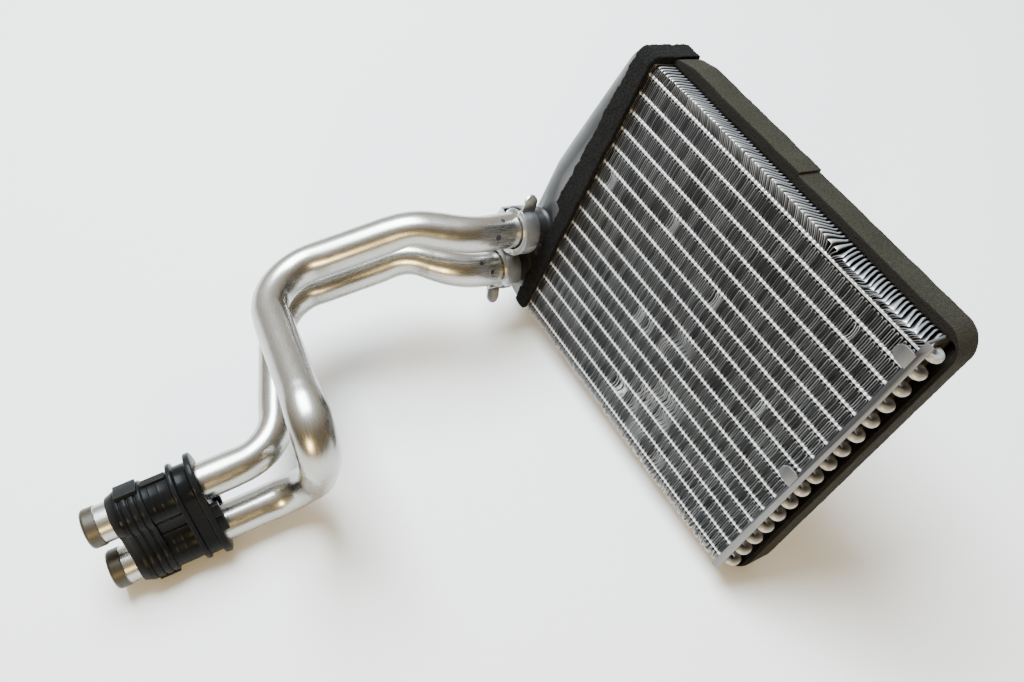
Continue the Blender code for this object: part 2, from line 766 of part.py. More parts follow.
def make_edge_foam(finish, core):
    """Two foam strips round the long sides and past the return bends, with a butt joint on top."""
    top = CORE_HEIGHT / 2 + CLEARANCE
    high = top + EDGE_FOAM_THICKNESS
    end = BEND_REACH + CLEARANCE
    front = BACK - EDGE_FOAM_WIDTH
    start = -PACK_END + TANK_FOAM_ON_FINS + CLEARANCE
    joint = EDGE_FOAM_JOINT_X - CLEARANCE
    inside = wrapped_run(top, end, EDGE_FOAM_INNER_CORNER)
    outside = wrapped_run(high, end + EDGE_FOAM_STRETCHED, EDGE_FOAM_OUTER_CORNER)
    outlines = {
        "edge_foam_top": [(start, top), (joint, top), (joint, high), (start, high)],
        "edge_foam_wrap": inside + outside[::-1],
    }
    for name, outline in outlines.items():
        bm = bmesh.new()
        extrude_outline(bm, outline, 1, front, BACK)
        solid(name, bm, finish, core)


def folded_strip(bottom, start, end):
    """A strip on the front that folds over the top corner to the back, as a closed body."""
    face = -max(HEADER_REACH, TANK_DEPTH / 2) - CLEARANCE
    top = CORE_HEIGHT / 2 + CLEARANCE
    thick = TANK_FOAM_THICKNESS
    outline = [
        (face, bottom),
        (face, top),
        (BACK, top),
        (BACK, top + thick),
        (face - thick * 0.3, top + thick),
        (face - thick, top + thick * 0.3),
        (face - thick, bottom),
    ]
    bm = bmesh.new()
    extrude_outline(bm, outline, 0, start, end)
    return bm


def make_tank_foam(finish, core):
    """A strip down the front of the header joint, cut narrower beside the two stubs."""
    beside_stubs = TANK_CENTRE_X + PIPE_RADIUS + 2 * CLEARANCE
    high = TANK_FOAM_ON_FINS - PACK_END
    low = TANK_FACE - TANK_FOAM_ON_TANK
    strip = solid("tank_foam", folded_strip(-CORE_HEIGHT / 2, beside_stubs, high), finish, core)
    wide = folded_strip(UPPER_JOINT_Z + TANK_FOAM_NARROWED, low, (beside_stubs + high) / 2)
    boolean(strip, cutter("tank_foam_wide", wide, core), "UNION")


def stand_at_origin(root):
    """Put the middle of the object's footprint at the origin, on Z = 0."""
    bpy.context.view_layer.update()
    graph = bpy.context.evaluated_depsgraph_get()
    corners = []
    for shown in bpy.data.objects:
        if shown.type == "MESH" and not shown.hide_render:
            mesh = shown.evaluated_get(graph).to_mesh()
            corners += [shown.matrix_world @ vertex.co for vertex in mesh.vertices]
    low = [min(corner[axis] for corner in corners) for axis in range(3)]
    high = [max(corner[axis] for corner in corners) for axis in range(3)]
    root.location -= Vector(((low[0] + high[0]) / 2, (low[1] + high[1]) / 2, low[2]))


def main():
    clear_scene()
    material("guide", (0.8, 0.1, 0.1), 0.5, 0.0)
    fins = material("fin_aluminium", (0.42, 0.43, 0.45), 0.42, 1.0)
    tubes = material("tube_aluminium", (0.72, 0.72, 0.71), 0.38, 1.0)
    plates = material("plate_aluminium", (0.58, 0.59, 0.60), 0.45, 1.0)
    tank = material("tank_aluminium", (0.66, 0.67, 0.68), 0.40, 1.0)
    pipes = material("pipe_aluminium", (0.80, 0.79, 0.76), 0.24, 1.0)
    clips = material("clip_steel", (0.20, 0.21, 0.22), 0.48, 1.0)
    rubber = material("seal_rubber", (0.02, 0.02, 0.02), 0.70, 0.0)
    plastic = material("connector_plastic", (0.025, 0.026, 0.027), 0.42, 0.0)
    black_foam = material("black_foam", (0.030, 0.028, 0.026), 0.95, 0.0)
    olive_foam = material("olive_foam", (0.085, 0.078, 0.060), 0.95, 0.0)

    root = empty("heater_core", Matrix.Identity(4))
    core = empty("core_frame", CORE_MATRIX, root)
    connector = empty("connector_frame", CONNECTOR_MATRIX, root)

    make_fin_strips(fins, core)
    make_header_plate(plates, core)
    make_end_plate(plates, core)
    make_hairpins(tubes, core)
    make_tank(tank, core)
    make_joint_seal("joint_seal_upper", UPPER_JOINT_Z, rubber, core)
    make_joint_seal("joint_seal_lower", LOWER_JOINT_Z, rubber, core)
    make_clip("joint_clip_upper", UPPER_JOINT_Z, math.radians(125), clips, core)
    make_clip("joint_clip_lower", LOWER_JOINT_Z, math.radians(320), clips, core)
    make_pipe(
        "pipe_upper",
        UPPER_JOINT_Z,
        UPPER_PIPE_FIRST_RUN,
        UPPER_PIPE_BENDS,
        (SMALL_BEND, SMALL_BEND, LARGE_BEND, TIGHT_BEND, LARGE_BEND),
        -1,
        UPPER_PIPE_LAST_RUN,
        pipes,
        root,
    )
    make_pipe(
        "pipe_lower",
        LOWER_JOINT_Z,
        LOWER_PIPE_FIRST_RUN,
        LOWER_PIPE_BENDS,
        (SMALL_BEND, SMALL_BEND, LARGE_BEND, LARGE_BEND),
        1,
        LOWER_PIPE_LAST_RUN,
        pipes,
        root,
    )
    make_connector(plastic, connector)
    make_edge_foam(olive_foam, core)
    make_tank_foam(black_foam, core)
    stand_at_origin(root)


main()
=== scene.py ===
"""Looks of a used car heater core: folded fins on flat tubes, a pressed tank, two bent pipes
in one black connector, and foam seals. Lengths are in metres, in the frame of the packed model."""

import math
import random

import bmesh
import bpy
import numpy as np
from mathutils import Matrix, Vector, noise


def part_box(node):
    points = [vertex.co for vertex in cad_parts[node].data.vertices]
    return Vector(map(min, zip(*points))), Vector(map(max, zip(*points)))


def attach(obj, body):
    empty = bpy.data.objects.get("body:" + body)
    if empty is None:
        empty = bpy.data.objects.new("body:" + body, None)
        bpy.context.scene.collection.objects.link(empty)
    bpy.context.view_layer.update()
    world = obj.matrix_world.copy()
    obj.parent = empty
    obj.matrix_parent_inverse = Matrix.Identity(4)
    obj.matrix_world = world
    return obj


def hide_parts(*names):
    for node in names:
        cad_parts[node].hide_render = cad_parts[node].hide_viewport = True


bl_info = {
    "name": "Heater core looks",
    "version": (1, 0, 0),
    "blender": (4, 5, 0),
    "location": "3D View > Sidebar > Heater core",
    "description": "Builds the detailed pieces of a car heater core round its packed model",
    "category": "Object",
}

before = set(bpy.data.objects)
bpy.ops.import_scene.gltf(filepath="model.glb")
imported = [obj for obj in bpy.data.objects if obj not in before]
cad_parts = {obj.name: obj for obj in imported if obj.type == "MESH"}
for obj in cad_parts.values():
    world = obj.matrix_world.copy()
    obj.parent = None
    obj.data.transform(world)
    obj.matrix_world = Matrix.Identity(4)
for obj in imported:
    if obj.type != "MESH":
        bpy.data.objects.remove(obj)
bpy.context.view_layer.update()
MM = 0.001


# Settings that a user would change

def number(label, text, value, **more):
    return bpy.props.FloatProperty(name=label, description=text, default=value, **more)


def length(label, text, value):
    return number(label, text, value * MM, subtype="DISTANCE", unit="LENGTH", precision=5)


def colour(label, text, value):
    return bpy.props.FloatVectorProperty(
        name=label, description=text, default=value, size=3, min=0.0, max=1.0, subtype="COLOR")


class PackSettings(bpy.types.PropertyGroup):
    """Sizes of the tubes, fins and plates."""

    rows: bpy.props.IntProperty(name="Tube rows", description="Number of hairpin tubes", default=16)
    legs: bpy.props.IntProperty(name="Fin legs", description="Legs of one folded fin strip", default=160)
    row_pitch: length("Row pitch", "Distance between tube rows", 9.6)
    core_length: length("Pack length", "Length of the fins along the tubes", 165.4)
    core_depth: length("Pack depth", "Depth of the fins", 26.4)
    outer_fin: length("Outer fin height", "Height of the fins outside the first and last tube", 4.55)
    fin_sheet: length("Fin sheet", "Thickness of the fin sheet", 0.14)
    flat_thickness: length("Flat tube thickness", "Thickness of a pressed tube leg", 1.7)
    flat_width: length("Flat tube width", "Width of a pressed tube leg", 4.4)
    nose_setback: length("Nose setback", "Distance of the tube nose behind the fin edges", 0.6)
    tube_diameter: length("Tube diameter", "Diameter of the tube in its return bend", 3.4)
    bend_pitch: length("Bend pitch", "Distance between the two legs at the return bend", 6.6)
    end_flange: length("End flange width", "Width of the end plate's flange on the front", 3.4)
    ear_length: length("Ear length", "Reach of an ear over the front of the fins", 7.0)


class TankSettings(bpy.types.PropertyGroup):
    """Sizes of the tank, its stubs and clips."""

    width: length("Tank width", "Width of the tank past the header plate", 28.5)
    depth: length("Tank depth", "Depth of the tank", 27.6)
    top_width: length("Top width", "Width of the tank at its upper end", 15.5)
    taper_length: length("Taper length", "Length over which the tank narrows to its upper end", 76.0)
    wall: length("Tank wall", "Thickness of the pressed sheet", 0.8)
    end_radius: length("End radius", "Rounding of the tank's two ends", 9.0)
    stub_length: length("Stub length", "Length of a stub in front of the fins", 15.4)
    stub_flange: length("Stub flange radius", "Radius of the flange on a stub", 11.8)
    joint_drop: length("Joint drop", "Upper joint below the top of the pack", 109.8)
    joint_spacing: length("Joint spacing", "Distance between the two joints", 26.9)
    clip_sheet: length("Clip sheet", "Thickness of the clip sheet", 1.0)


class PipeSettings(bpy.types.PropertyGroup):
    """Sizes of the pipes and their connector."""

    diameter: length("Pipe diameter", "Outer diameter of both pipes", 18.0)
    wall: length("Pipe wall", "Wall of both pipes", 1.5)
    bead_radius: length("Bead radius", "Radius of the bead at the tank", 10.6)
    flattening: number("Flattening", "How much a bend flattens the pipe", 0.07, min=0.0, max=1.0)
    sleeve_radius: length("End sleeve radius", "Radius of the coated band at a free end", 9.5)
    connector_length: length("Connector length", "Length of the connector along the pipes", 40.8)
    connector_spacing: length("Pipe spacing", "Distance between the pipes in the connector", 26.7)
    lip_radius: length("First lip radius", "Radius of the lip on the pipe side", 13.8)
    second_lip_radius: length("Second lip radius", "Radius of the lip behind the groove", 13.0)
    band_radius: length("Band radius", "Radius of the band with the lock tabs", 11.9)


class FoamSettings(bpy.types.PropertyGroup):
    """Sizes of the foam strips."""

    edge_thickness: length("Edge foam thickness", "Thickness of the olive strip", 4.7)
    edge_width: length("Edge foam width", "Width of the olive strip", 15.6)
    edge_stretched: length("Stretched foam thickness", "Thickness of the olive strip past the bends", 2.0)
    edge_inner_corner: length("Inner corner", "Inner radius of the olive strip's corners", 3.4)
    edge_outer_corner: length("Outer corner", "Outer radius of the olive strip's corners", 11.5)
    front_thickness: length("Front foam thickness", "Thickness of the black strip", 2.6)
    on_tank: length("Reach on tank", "Reach of the black strip over the tank", 8.4)
    on_fins: length("Reach on fins", "Reach of the black strip over the fins", 1.6)
    roughness: length("Surface roughness", "Height of the foam's surface grain", 0.22)


class FinishSettings(bpy.types.PropertyGroup):
    """Colours of the finishes."""

    # Fins is painted light on the fin sheet's front and back edges; Fins inside is painted shade on the sheet
    # deep in the pack
    fin: colour("Fins", "Bare fin sheet at its exposed edges", (0.78, 0.80, 0.85))
    fin_painted_shade: colour("Fins inside", "Fin sheet deep in the pack", (0.014, 0.0145, 0.017))
    tube: colour("Tubes", "Brazed tube surface", (0.50, 0.50, 0.50))
    bead: colour("Braze beads", "Braze on the tube noses", (0.84, 0.84, 0.85))
    bend: colour("Return bends", "Dull tube surface at the bends", (0.47, 0.472, 0.475))
    plate: colour("Plates", "Brazed sheet", (0.048, 0.047, 0.053))
    tank: colour("Tank", "Satin pressed sheet", (0.043, 0.044, 0.046))
    pipe: colour("Pipes", "Bright drawn tube", (0.43, 0.425, 0.405))
    coating: colour("Pipe end coating", "Brown film on the free ends", (0.055, 0.047, 0.034))
    ink: colour("Marker ink", "Paint dots beside the joints", (0.012, 0.010, 0.016))
    clip: colour("Clips", "Spring steel", (0.27, 0.28, 0.30))
    plastic: colour("Connector", "Black moulded plastic", (0.004, 0.0043, 0.0047))
    rubber: colour("Seals", "Black rubber", (0.015, 0.015, 0.015))
    black_foam: colour("Black foam", "Open foam on the tank joint", (0.0038, 0.0037, 0.0036))
    olive_foam: colour("Olive foam", "Foam round the edges", (0.026, 0.0235, 0.0165))


class StageSettings(bpy.types.PropertyGroup):
    """Floor, light and camera."""

    floor: colour("Floor", "Pale table top", (0.79, 0.79, 0.785))
    key_power: number("Key power", "Power of the window light", 60.0, unit="POWER")
    fill_power: number("Fill power", "Power of the warm light", 12.0, unit="POWER")
    ambient: number("Ambient", "Strength of the light from all round", 0.66)
    lens: number("Lens", "Focal length of the camera", 33.15, unit="CAMERA")


GROUPS = {
    "core_pack": PackSettings,
    "core_tank": TankSettings,
    "core_pipes": PipeSettings,
    "core_foam": FoamSettings,
    "core_finish": FinishSettings,
    "core_stage": StageSettings,
}


class Group:
    """Reads the settings of one group from the open scene."""

    def __init__(self, name):
        self.group = name

    def __getattr__(self, label):
        return getattr(getattr(bpy.context.scene, self.group), label)


pack, tank, pipes, foam, look, stage = map(Group, GROUPS)

# Places taken from the packed model

GAP = 0.3 * MM
LEAN = math.radians(24.1)
HEADER_SHEET = 1.6 * MM
END_SHEET = 1.2 * MM
FLANGE_SHEET = 1.0 * MM
EAR_ROWS = (1.5, 9.5)
CONNECTOR_YAW = math.radians(4.9)
CONNECTOR_ROLL = math.radians(26.3)
# Places in the frame in which the pipe routes were measured
MEASURED_CORE_Y = -17.4 * MM
MEASURED_CONNECTOR = (22.9 * MM, -247.5 * MM)


def core_matrix():
    """Frame of the fin pack: X along the tubes, Y to its back, Z up its rows."""
    low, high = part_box("header_plate")
    centre = (low + high) / 2
    centre.x = high.x + GAP + pack.core_length / 2
    return Matrix.Translation(centre) @ Matrix.Rotation(-LEAN, 4, "X")


def core_height():
    return (pack.rows - 1) * pack.row_pitch + pack.flat_thickness + 2 * pack.outer_fin


def route_shift():
    """From the frame in which the pipe routes were measured to the packed model."""
    height = (core_height() / 2 + GAP + foam.edge_thickness) * math.cos(LEAN)
    measured = Vector((pack.core_length / 2, MEASURED_CORE_Y, height + pack.core_depth / 2 * math.sin(LEAN)))
    return core_matrix().translation - measured


def connector_matrix():
    """Frame of the connector: X towards the free pipe ends, Z across both bores."""
    height = pipes.lip_radius + pipes.connector_spacing / 2 * math.cos(CONNECTOR_ROLL)
    centre = Vector((*MEASURED_CONNECTOR, height)) + route_shift()
    turned = Matrix.Rotation(-math.pi / 2 - CONNECTOR_YAW, 4, "Z") @ Matrix.Rotation(CONNECTOR_ROLL, 4, "X")
    return Matrix.Translation(centre) @ turned


def row_height(row):
    return ((pack.rows + 1) / 2 - row) * pack.row_pitch


def leg_places():
    """Depth of the front leg and of the rear leg of every hairpin."""
    front = -pack.core_depth / 2 + pack.nose_setback + pack.flat_width / 2
    return front, front + pack.bend_pitch


def tank_face():
    return -pack.core_length / 2 - 2 * GAP - HEADER_SHEET


def joint_heights():
    upper = core_height() / 2 - tank.joint_drop
    return {"upper": upper, "lower": upper - tank.joint_spacing}


# Mesh helpers

def linked(name, data):
    """A new object in the scene."""
    made = bpy.data.objects.new(name, data)
    bpy.context.scene.collection.objects.link(made)
    return made


def dress(name, mesh, key, nodes, sharp):
    """Make a piece of the object from a mesh in the model's frame, with the finish of that key."""
    mesh.validate()
    mesh.shade_smooth()
    mesh.set_sharp_from_angle(angle=math.radians(sharp))
    made = linked(name, mesh)
    mesh.materials.clear()
    mesh.materials.append(material(key))
    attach(made, "root")
    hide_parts(*nodes)
    return made


def grid_mesh(name, points, closed_u=False, uv=None, values=None):
    """Mesh through a grid of points, rows U by columns V round a section, as a ring or with closed ends."""
    rows, columns = points.shape[:2]
    index = np.arange(rows * columns).reshape(rows, columns)
    right = np.roll(index, -1, 1)
    faces = np.stack([index, right, np.roll(right, -1, 0), np.roll(index, -1, 0)], -1)
    faces = faces[:None if closed_u else -1].reshape(-1, 4).tolist()
    if not closed_u:
        faces.append(index[0, ::-1].tolist())
        faces.append(index[-1].tolist())
    mesh = bpy.data.meshes.new(name)
    mesh.from_pydata(points.reshape(-1, 3).tolist(), [], faces)
    for label, data in (values or {}).items():
        add_values(mesh, label, data.astype(np.float32).ravel())
    if uv is not None:
        add_uv(mesh, uv.reshape(-1, 2))
    return mesh


def add_values(mesh, label, data):
    mesh.attributes.new(label, "FLOAT", "POINT").data.foreach_set("value", data)


def add_uv(mesh, uv):
    layer = mesh.uv_layers.new(name="along")
    corners = np.zeros(len(mesh.loops), np.int32)
    mesh.loops.foreach_get("vertex_index", corners)
    layer.data.foreach_set("uv", uv[corners].astype(np.float32).ravel())


def placed(points, matrix):
    """Points moved by a matrix."""
    turn = np.array(matrix.to_3x3())
    return points @ turn.T + np.array(matrix.translation)


def core_grid(name, rows, **more):
    """Mesh through a grid of points in the fin pack's frame."""
    return grid_mesh(name, placed(np.array(rows), core_matrix()), **more)


def from_bmesh(name, bm, matrix=None):
    bmesh.ops.recalc_face_normals(bm, faces=bm.faces)
    mesh = bpy.data.meshes.new(name)
    if matrix is not None:
        bm.transform(matrix)
    bm.to_mesh(mesh)
    bm.free()
    return mesh


def combine(base, tools, bevel=None):
    """Apply unions and cuts to a mesh, then a small bevel on its sharp edges."""
    body = linked("work", base)
    helpers = []
    for tool, operation in tools:
        helpers.append(linked("tool", tool))
        modifier = body.modifiers.new("cut", "BOOLEAN")
        modifier.solver = "EXACT"
        modifier.operation = operation
        modifier.object = helpers[-1]
    if bevel:
        modifier = body.modifiers.new("bevel", "BEVEL")
        modifier.width = bevel
        modifier.segments = 2
        modifier.limit_method = "ANGLE"
        modifier.angle_limit = math.radians(50)
    graph = bpy.context.evaluated_depsgraph_get()
    result = bpy.data.meshes.new_from_object(body.evaluated_get(graph))
    for helper in (*helpers, body):
        bpy.data.objects.remove(helper)
    return result


def turned_body(profile, centre, axis, side, sides=64):
    """A turned body from pairs of distance along an axis and radius."""
    axis, side = Vector(axis), Vector(side)
    other = axis.cross(side)
    around = np.arange(sides) / sides * 2 * math.pi
    rows = [
        np.array(centre + axis * distance)
        + radius * (np.outer(np.cos(around), side) + np.outer(np.sin(around), other))
        for distance, radius in profile
    ]
    return grid_mesh("turned", np.array(rows))


def block(low, high, bevel, matrix=None):
    """A box with bevelled edges."""
    bm = bmesh.new()
    bmesh.ops.create_cube(bm, size=1.0)
    size = Vector(high) - Vector(low)
    middle = (Vector(high) + Vector(low)) / 2
    for vertex in bm.verts:
        vertex.co = Vector(a * b for a, b in zip(vertex.co, size)) + middle
    bmesh.ops.bevel(bm, geom=list(bm.edges), offset=bevel, segments=3, profile=0.5, affect="EDGES")
    return from_bmesh("block", bm, matrix)


def bent_path(corners, radii, steps):
    """Centre line of straight runs and round bends through the corner points."""
    points = [corners[0]]
    for before, corner, after, radius in zip(corners, corners[1:], corners[2:], radii):
        arriving = (before - corner).normalized()
        leaving = (after - corner).normalized()
        opening = arriving.angle(leaving)
        centre = corner + (arriving + leaving).normalized() * (radius / math.sin(opening / 2))
        start = corner + arriving * (radius / math.tan(opening / 2)) - centre
        end = corner + leaving * (radius / math.tan(opening / 2)) - centre
        sweep = math.pi - opening
        for step in range(steps + 1):
            part = step / steps
            mixed = math.sin((1 - part) * sweep) * start + math.sin(part * sweep) * end
            points.append(centre + mixed / math.sin(sweep))
    points.append(corners[-1])
    return np.array([tuple(point) for point in points])


def distances(points):
    """Distance of each point along its line."""
    return np.concatenate([[0], np.cumsum(np.linalg.norm(np.diff(points, axis=0), axis=1))])


def directions(points):
    """Direction of a line at each of its points."""
    ahead = np.gradient(points, axis=0)
    return ahead / np.linalg.norm(ahead, axis=1)[:, None]


def resampled(points, spacing):
    """Points at even steps along a line, and the distance of each."""
    along = distances(points)
    count = max(2, round(along[-1] / spacing)) + 1
    steps = np.linspace(0, along[-1], count)
    return np.stack([np.interp(steps, along, points[:, axis]) for axis in range(3)], 1), steps


def carried_frames(points, first_up):
    """Directions at each point of a line, turning no more than the line does."""
    tangents = directions(points)
    ups = []
    up = np.array(first_up, float)
    for tangent in tangents:
        up = up - tangent * up.dot(tangent)
        up /= np.linalg.norm(up)
        ups.append(up)
    ups = np.array(ups)
    return tangents, np.cross(tangents, ups), ups


def wander(values, seed, scale):
    """Smooth noise from -1 to 1 along a row of values."""
    return np.array([noise.noise(Vector((value / scale, seed * 7.31, seed * 1.7))) for value in values]) * 2


# Materials

class Nodes:
    """Short way to write a node tree."""

    def __init__(self, tree):
        self.tree = tree

    def add(self, kind, **inputs):
        return self.fill(self.tree.nodes.new(kind), inputs)

    def fill(self, made, inputs):
        for label, value in inputs.items():
            self.feed(made.inputs[label.replace("_", " ")], value)
        return made

    def feed(self, socket, value):
        if isinstance(value, bpy.types.NodeSocket):
            self.tree.links.new(value, socket)
        else:
            socket.default_value = value

    def noise(self, vector, scale, detail=4.0, roughness=0.55):
        made = self.add("ShaderNodeTexNoise", Vector=vector, Scale=scale, Detail=detail, Roughness=roughness)
        return made.outputs["Fac"]

    def span(self, value, low, high, to_low=0.0, to_high=1.0):
        made = self.add(
            "ShaderNodeMapRange", Value=value, From_Min=low, From_Max=high, To_Min=to_low, To_Max=to_high)
        return made.outputs["Result"]

    def between(self, mask, low, high):
        return self.span(mask, 0.0, 1.0, low, high)

    def math(self, operation, first, second=0.0):
        made = self.add("ShaderNodeMath")
        made.operation = operation
        self.feed(made.inputs[0], first)
        self.feed(made.inputs[1], second)
        return made.outputs[0]

    def mix(self, factor, first, second):
        made = self.add("ShaderNodeMix")
        made.data_type = "RGBA"
        self.feed(made.inputs[0], factor)
        for socket, value in ((made.inputs[6], first), (made.inputs[7], second)):
            self.feed(socket, value if isinstance(value, bpy.types.NodeSocket) else (*value, 1.0))
        return made.outputs[2]

    def attribute(self, name):
        made = self.add("ShaderNodeAttribute")
        made.attribute_name = name
        return made.outputs["Fac"]

    def group(self, name, **inputs):
        made = self.add("ShaderNodeGroup")
        made.node_tree = bpy.data.node_groups[name]
        return self.fill(made, inputs).outputs


def new_group(name, numbers, outputs, vector=True):
    """An empty shader node group with named sockets."""
    tree = bpy.data.node_groups.new(name, "ShaderNodeTree")
    if vector:
        tree.interface.new_socket("Vector", in_out="INPUT", socket_type="NodeSocketVector")
    for label, value in numbers.items():
        tree.interface.new_socket(label, in_out="INPUT", socket_type="NodeSocketFloat").default_value = value
    for label in outputs:
        tree.interface.new_socket(label, in_out="OUTPUT", socket_type="NodeSocketFloat")
    return Nodes(tree), tree.nodes.new("NodeGroupInput").outputs, tree.nodes.new("NodeGroupOutput").inputs


def make_groups():
    """Effects that several finishes share."""
    outputs = ("Cloud", "Specks", "Height")
    work, given, out = new_group("metal_tarnish", {"Size": 60.0, "Spots": 0.62}, outputs)
    cloud = work.noise(given["Vector"], given["Size"], 5.0, 0.6)
    work.feed(out["Cloud"], work.span(cloud, 0.35, 0.65))
    fine = work.noise(given["Vector"], work.math("MULTIPLY", given["Size"], 14.0), 3.0, 0.7)
    work.feed(out["Specks"], work.span(fine, given["Spots"], work.math("ADD", given["Spots"], 0.08)))
    work.feed(out["Height"], fine)

    work, given, out = new_group("drawn_lines", {"Scale": 1.0}, ("Lines", "Height"))
    fine = work.noise(given["Vector"], given["Scale"], 6.0, 0.75)
    work.feed(out["Lines"], work.span(fine, 0.38, 0.62))
    work.feed(out["Height"], fine)

    work, given, out = new_group("foam_cells", {"Cell": 1500.0}, ("Pores", "Cloud", "Height"))
    cells = work.add("ShaderNodeTexVoronoi", Vector=given["Vector"], Scale=given["Cell"], Randomness=1.0)
    grain = work.noise(given["Vector"], work.math("MULTIPLY", given["Cell"], 0.6), 4.0, 0.7)
    work.feed(out["Pores"], work.span(cells.outputs["Distance"], 0.15, 0.55))
    work.feed(out["Cloud"], work.span(work.noise(given["Vector"], 45.0, 3.0), 0.35, 0.65))
    work.feed(out["Height"], work.math("ADD", cells.outputs["Distance"], grain))

    work, given, out = new_group("worn_edges", {"Strength": 1.0}, ("Edge",), vector=False)
    point = work.add("ShaderNodeNewGeometry").outputs["Pointiness"]
    work.feed(out["Edge"], work.math("MULTIPLY", work.span(point, 0.52, 0.58), given["Strength"]))


def darker(value, factor):
    return tuple(channel * factor for channel in value)


class Finish(Nodes):
    """A new material, its shader and the steps that several finishes share."""

    def __init__(self, name, metallic=0.0, specular=0.5):
        self.made = bpy.data.materials.new(name)
        self.made.use_nodes = True
        super().__init__(self.made.node_tree)
        self.shader = self.tree.nodes["Principled BSDF"].inputs
        self.fill(self.tree.nodes["Principled BSDF"], {"Metallic": metallic, "Specular IOR Level": specular})
        self.place = self.add("ShaderNodeTexCoord").outputs["Object"]

    def tarnish(self, size, spots):
        made = self.group("metal_tarnish", Vector=self.place, Size=size, Spots=spots)
        return made["Cloud"], made["Specks"], made["Height"]

    def lines(self, vector, scale):
        stretched = self.add("ShaderNodeMapping", Vector=vector, Scale=scale)
        return self.group("drawn_lines", Vector=stretched.outputs["Vector"], Scale=1.0)

    def worn(self, strength):
        return self.group("worn_edges", Strength=strength)["Edge"]

    def darkened(self, mask, tint, factor):
        return self.mix(mask, tint, darker(tint, factor))

    def over(self, base, mask, share, tint):
        """Lay a tint over a base where the mask shows, at a share of its strength."""
        return self.mix(self.math("MULTIPLY", mask, share), base, tint)

    def done(self, base, roughness, height=None, distance=0.0, strength=0.0):
        self.feed(self.shader["Base Color"], base)
        self.feed(self.shader["Roughness"], roughness)
        if height:
            bump = self.add("ShaderNodeBump", Strength=strength, Distance=distance, Height=height)
            self.feed(self.shader["Normal"], bump.outputs["Normal"])
        return self.made


